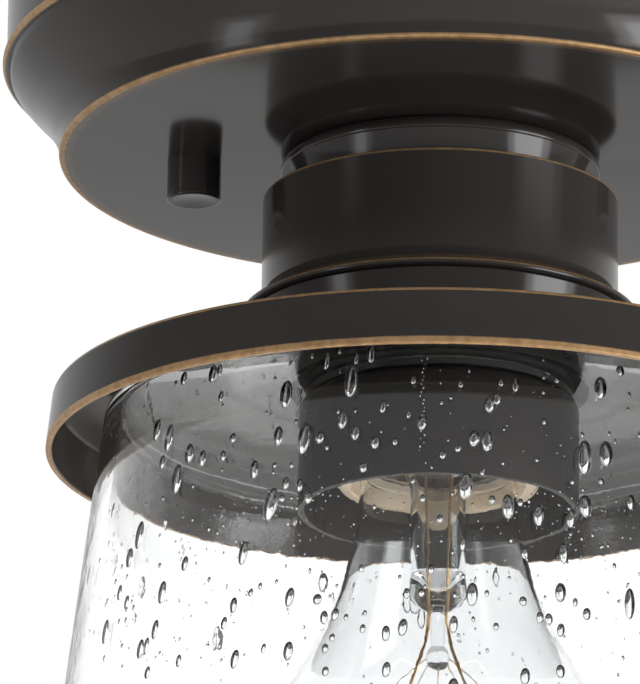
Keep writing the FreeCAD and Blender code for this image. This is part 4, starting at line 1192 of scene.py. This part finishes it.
def make_wire_connectors():
    """Ribbed caps twisted over the joined wires."""
    low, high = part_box("wire_connectors")
    up = (low[2] + high[2]) / 2 / MM
    start = 21.0
    length = high[0] / MM - start
    outline = section([
        at(0, 1.6),
        at(3.6, 1.6),
        at(3.9, 0, ease=0.3),
        at(5.2, 0, ease=0.5),
        at(5.2, 3.2, ease=0.4),
        at(4.75, 3.6, ease=0.4),
        at(3.4, length, ease=0.9),
        at(0, length),
    ], closed=False)
    caps = []
    for side in (-1, 1):
        cap = turned("connector_cap", outline, around=84, closed=False)
        for vertex in cap.data.vertices:
            across = math.hypot(vertex.co.x, vertex.co.y)
            above = vertex.co.z / MM
            if 3.4 < above < length - 0.2 and across > 2.6 * MM:
                rib = 0.5 + 0.5 * math.cos(14 * math.atan2(vertex.co.y, vertex.co.x))
                share = 1.0 - 0.075 * rib
                vertex.co.x *= share
                vertex.co.y *= share
        lay = Matrix.Rotation(math.radians(90 * side), 4, "Y")
        cap.data.transform(Matrix.Translation((start * side * MM, 0, up * MM)) @ lay)
        caps.append(cap)
    plastic = soft("connector_plastic", (0.72, 0.20, 0.03), (0.82, 0.26, 0.05), 0.3, 0.45)
    settle(joined(caps, "ribbed_connectors"), "fixture", "connector_plastic", plastic, "wire_connectors")


# ---- carried-over nodes --------------------------------------------------------------------------

def dress(material, *names):
    """Gives CAD nodes a finish in place of the plain one."""
    for name in names:
        data = NODES[name].data
        data.materials.clear()
        data.materials.append(material)


def dress_hidden_parts():
    """Finishes of the pieces inside canopy, neck and cup."""
    zinc = metal("zinc_steel", *ZINC_LOOK)
    brass = metal("brass", (0.62, 0.43, 0.17), (0.72, 0.52, 0.23), 0.2, 0.38)
    copper = metal("copper", (0.62, 0.29, 0.16), (0.72, 0.38, 0.23), 0.26, 0.46)
    rubber = soft("rubber", (0.022, 0.022, 0.022), (0.034, 0.033, 0.032), 0.5, 0.7)
    foam = soft("foam", (0.045, 0.045, 0.046), (0.07, 0.07, 0.07), 0.85, 0.95, grain=1300.0, relief=0.25)
    dress(zinc, "crossbar", "stud_lock_nuts", "lock_washers")
    dress(zinc, "socket_bracket", "bracket_screws")
    dress(brass, "nipple_nuts", "socket_screw_shell", "socket_centre_contact")
    dress(copper, "ground_lead")
    dress(rubber, "upper_shade_gasket", "lower_shade_gasket")
    dress(foam, "ceiling_gasket")
    dress(metal("aluminium", (0.74, 0.74, 0.75), (0.82, 0.82, 0.82), 0.26, 0.4), "shade_spacer")
    dress(metal("solder", (0.55, 0.55, 0.56), (0.68, 0.68, 0.69), 0.3, 0.5), "bulb_tip_contact")
    dress(metal("green_screw", (0.03, 0.22, 0.07), (0.05, 0.30, 0.10), 0.25, 0.4), "ground_screw")
    dress(soft("black_glass", (0.01, 0.01, 0.012), (0.02, 0.02, 0.022), 0.08, 0.2), "bulb_base_insulator")
    dress(soft("black_insulation", (0.012, 0.012, 0.012), (0.022, 0.022, 0.021), 0.35, 0.5), "black_lead")
    dress(soft("white_insulation", (0.70, 0.69, 0.66), (0.78, 0.77, 0.75), 0.35, 0.5), "white_lead")


view_camera()
light_studio()
make_canopy()
make_cap_nut(-1, "cap_nut_left")
make_cap_nut(1, "cap_nut_right")
make_collar()
make_neck()
make_shade_plate()
make_retaining_cup()
make_glass_shade()
make_socket()
make_bulb_envelope()
make_bulb_stem()
make_bulb_wires()
make_bulb_base()
make_threaded_rods()
make_wire_connectors()
dress_hidden_parts()
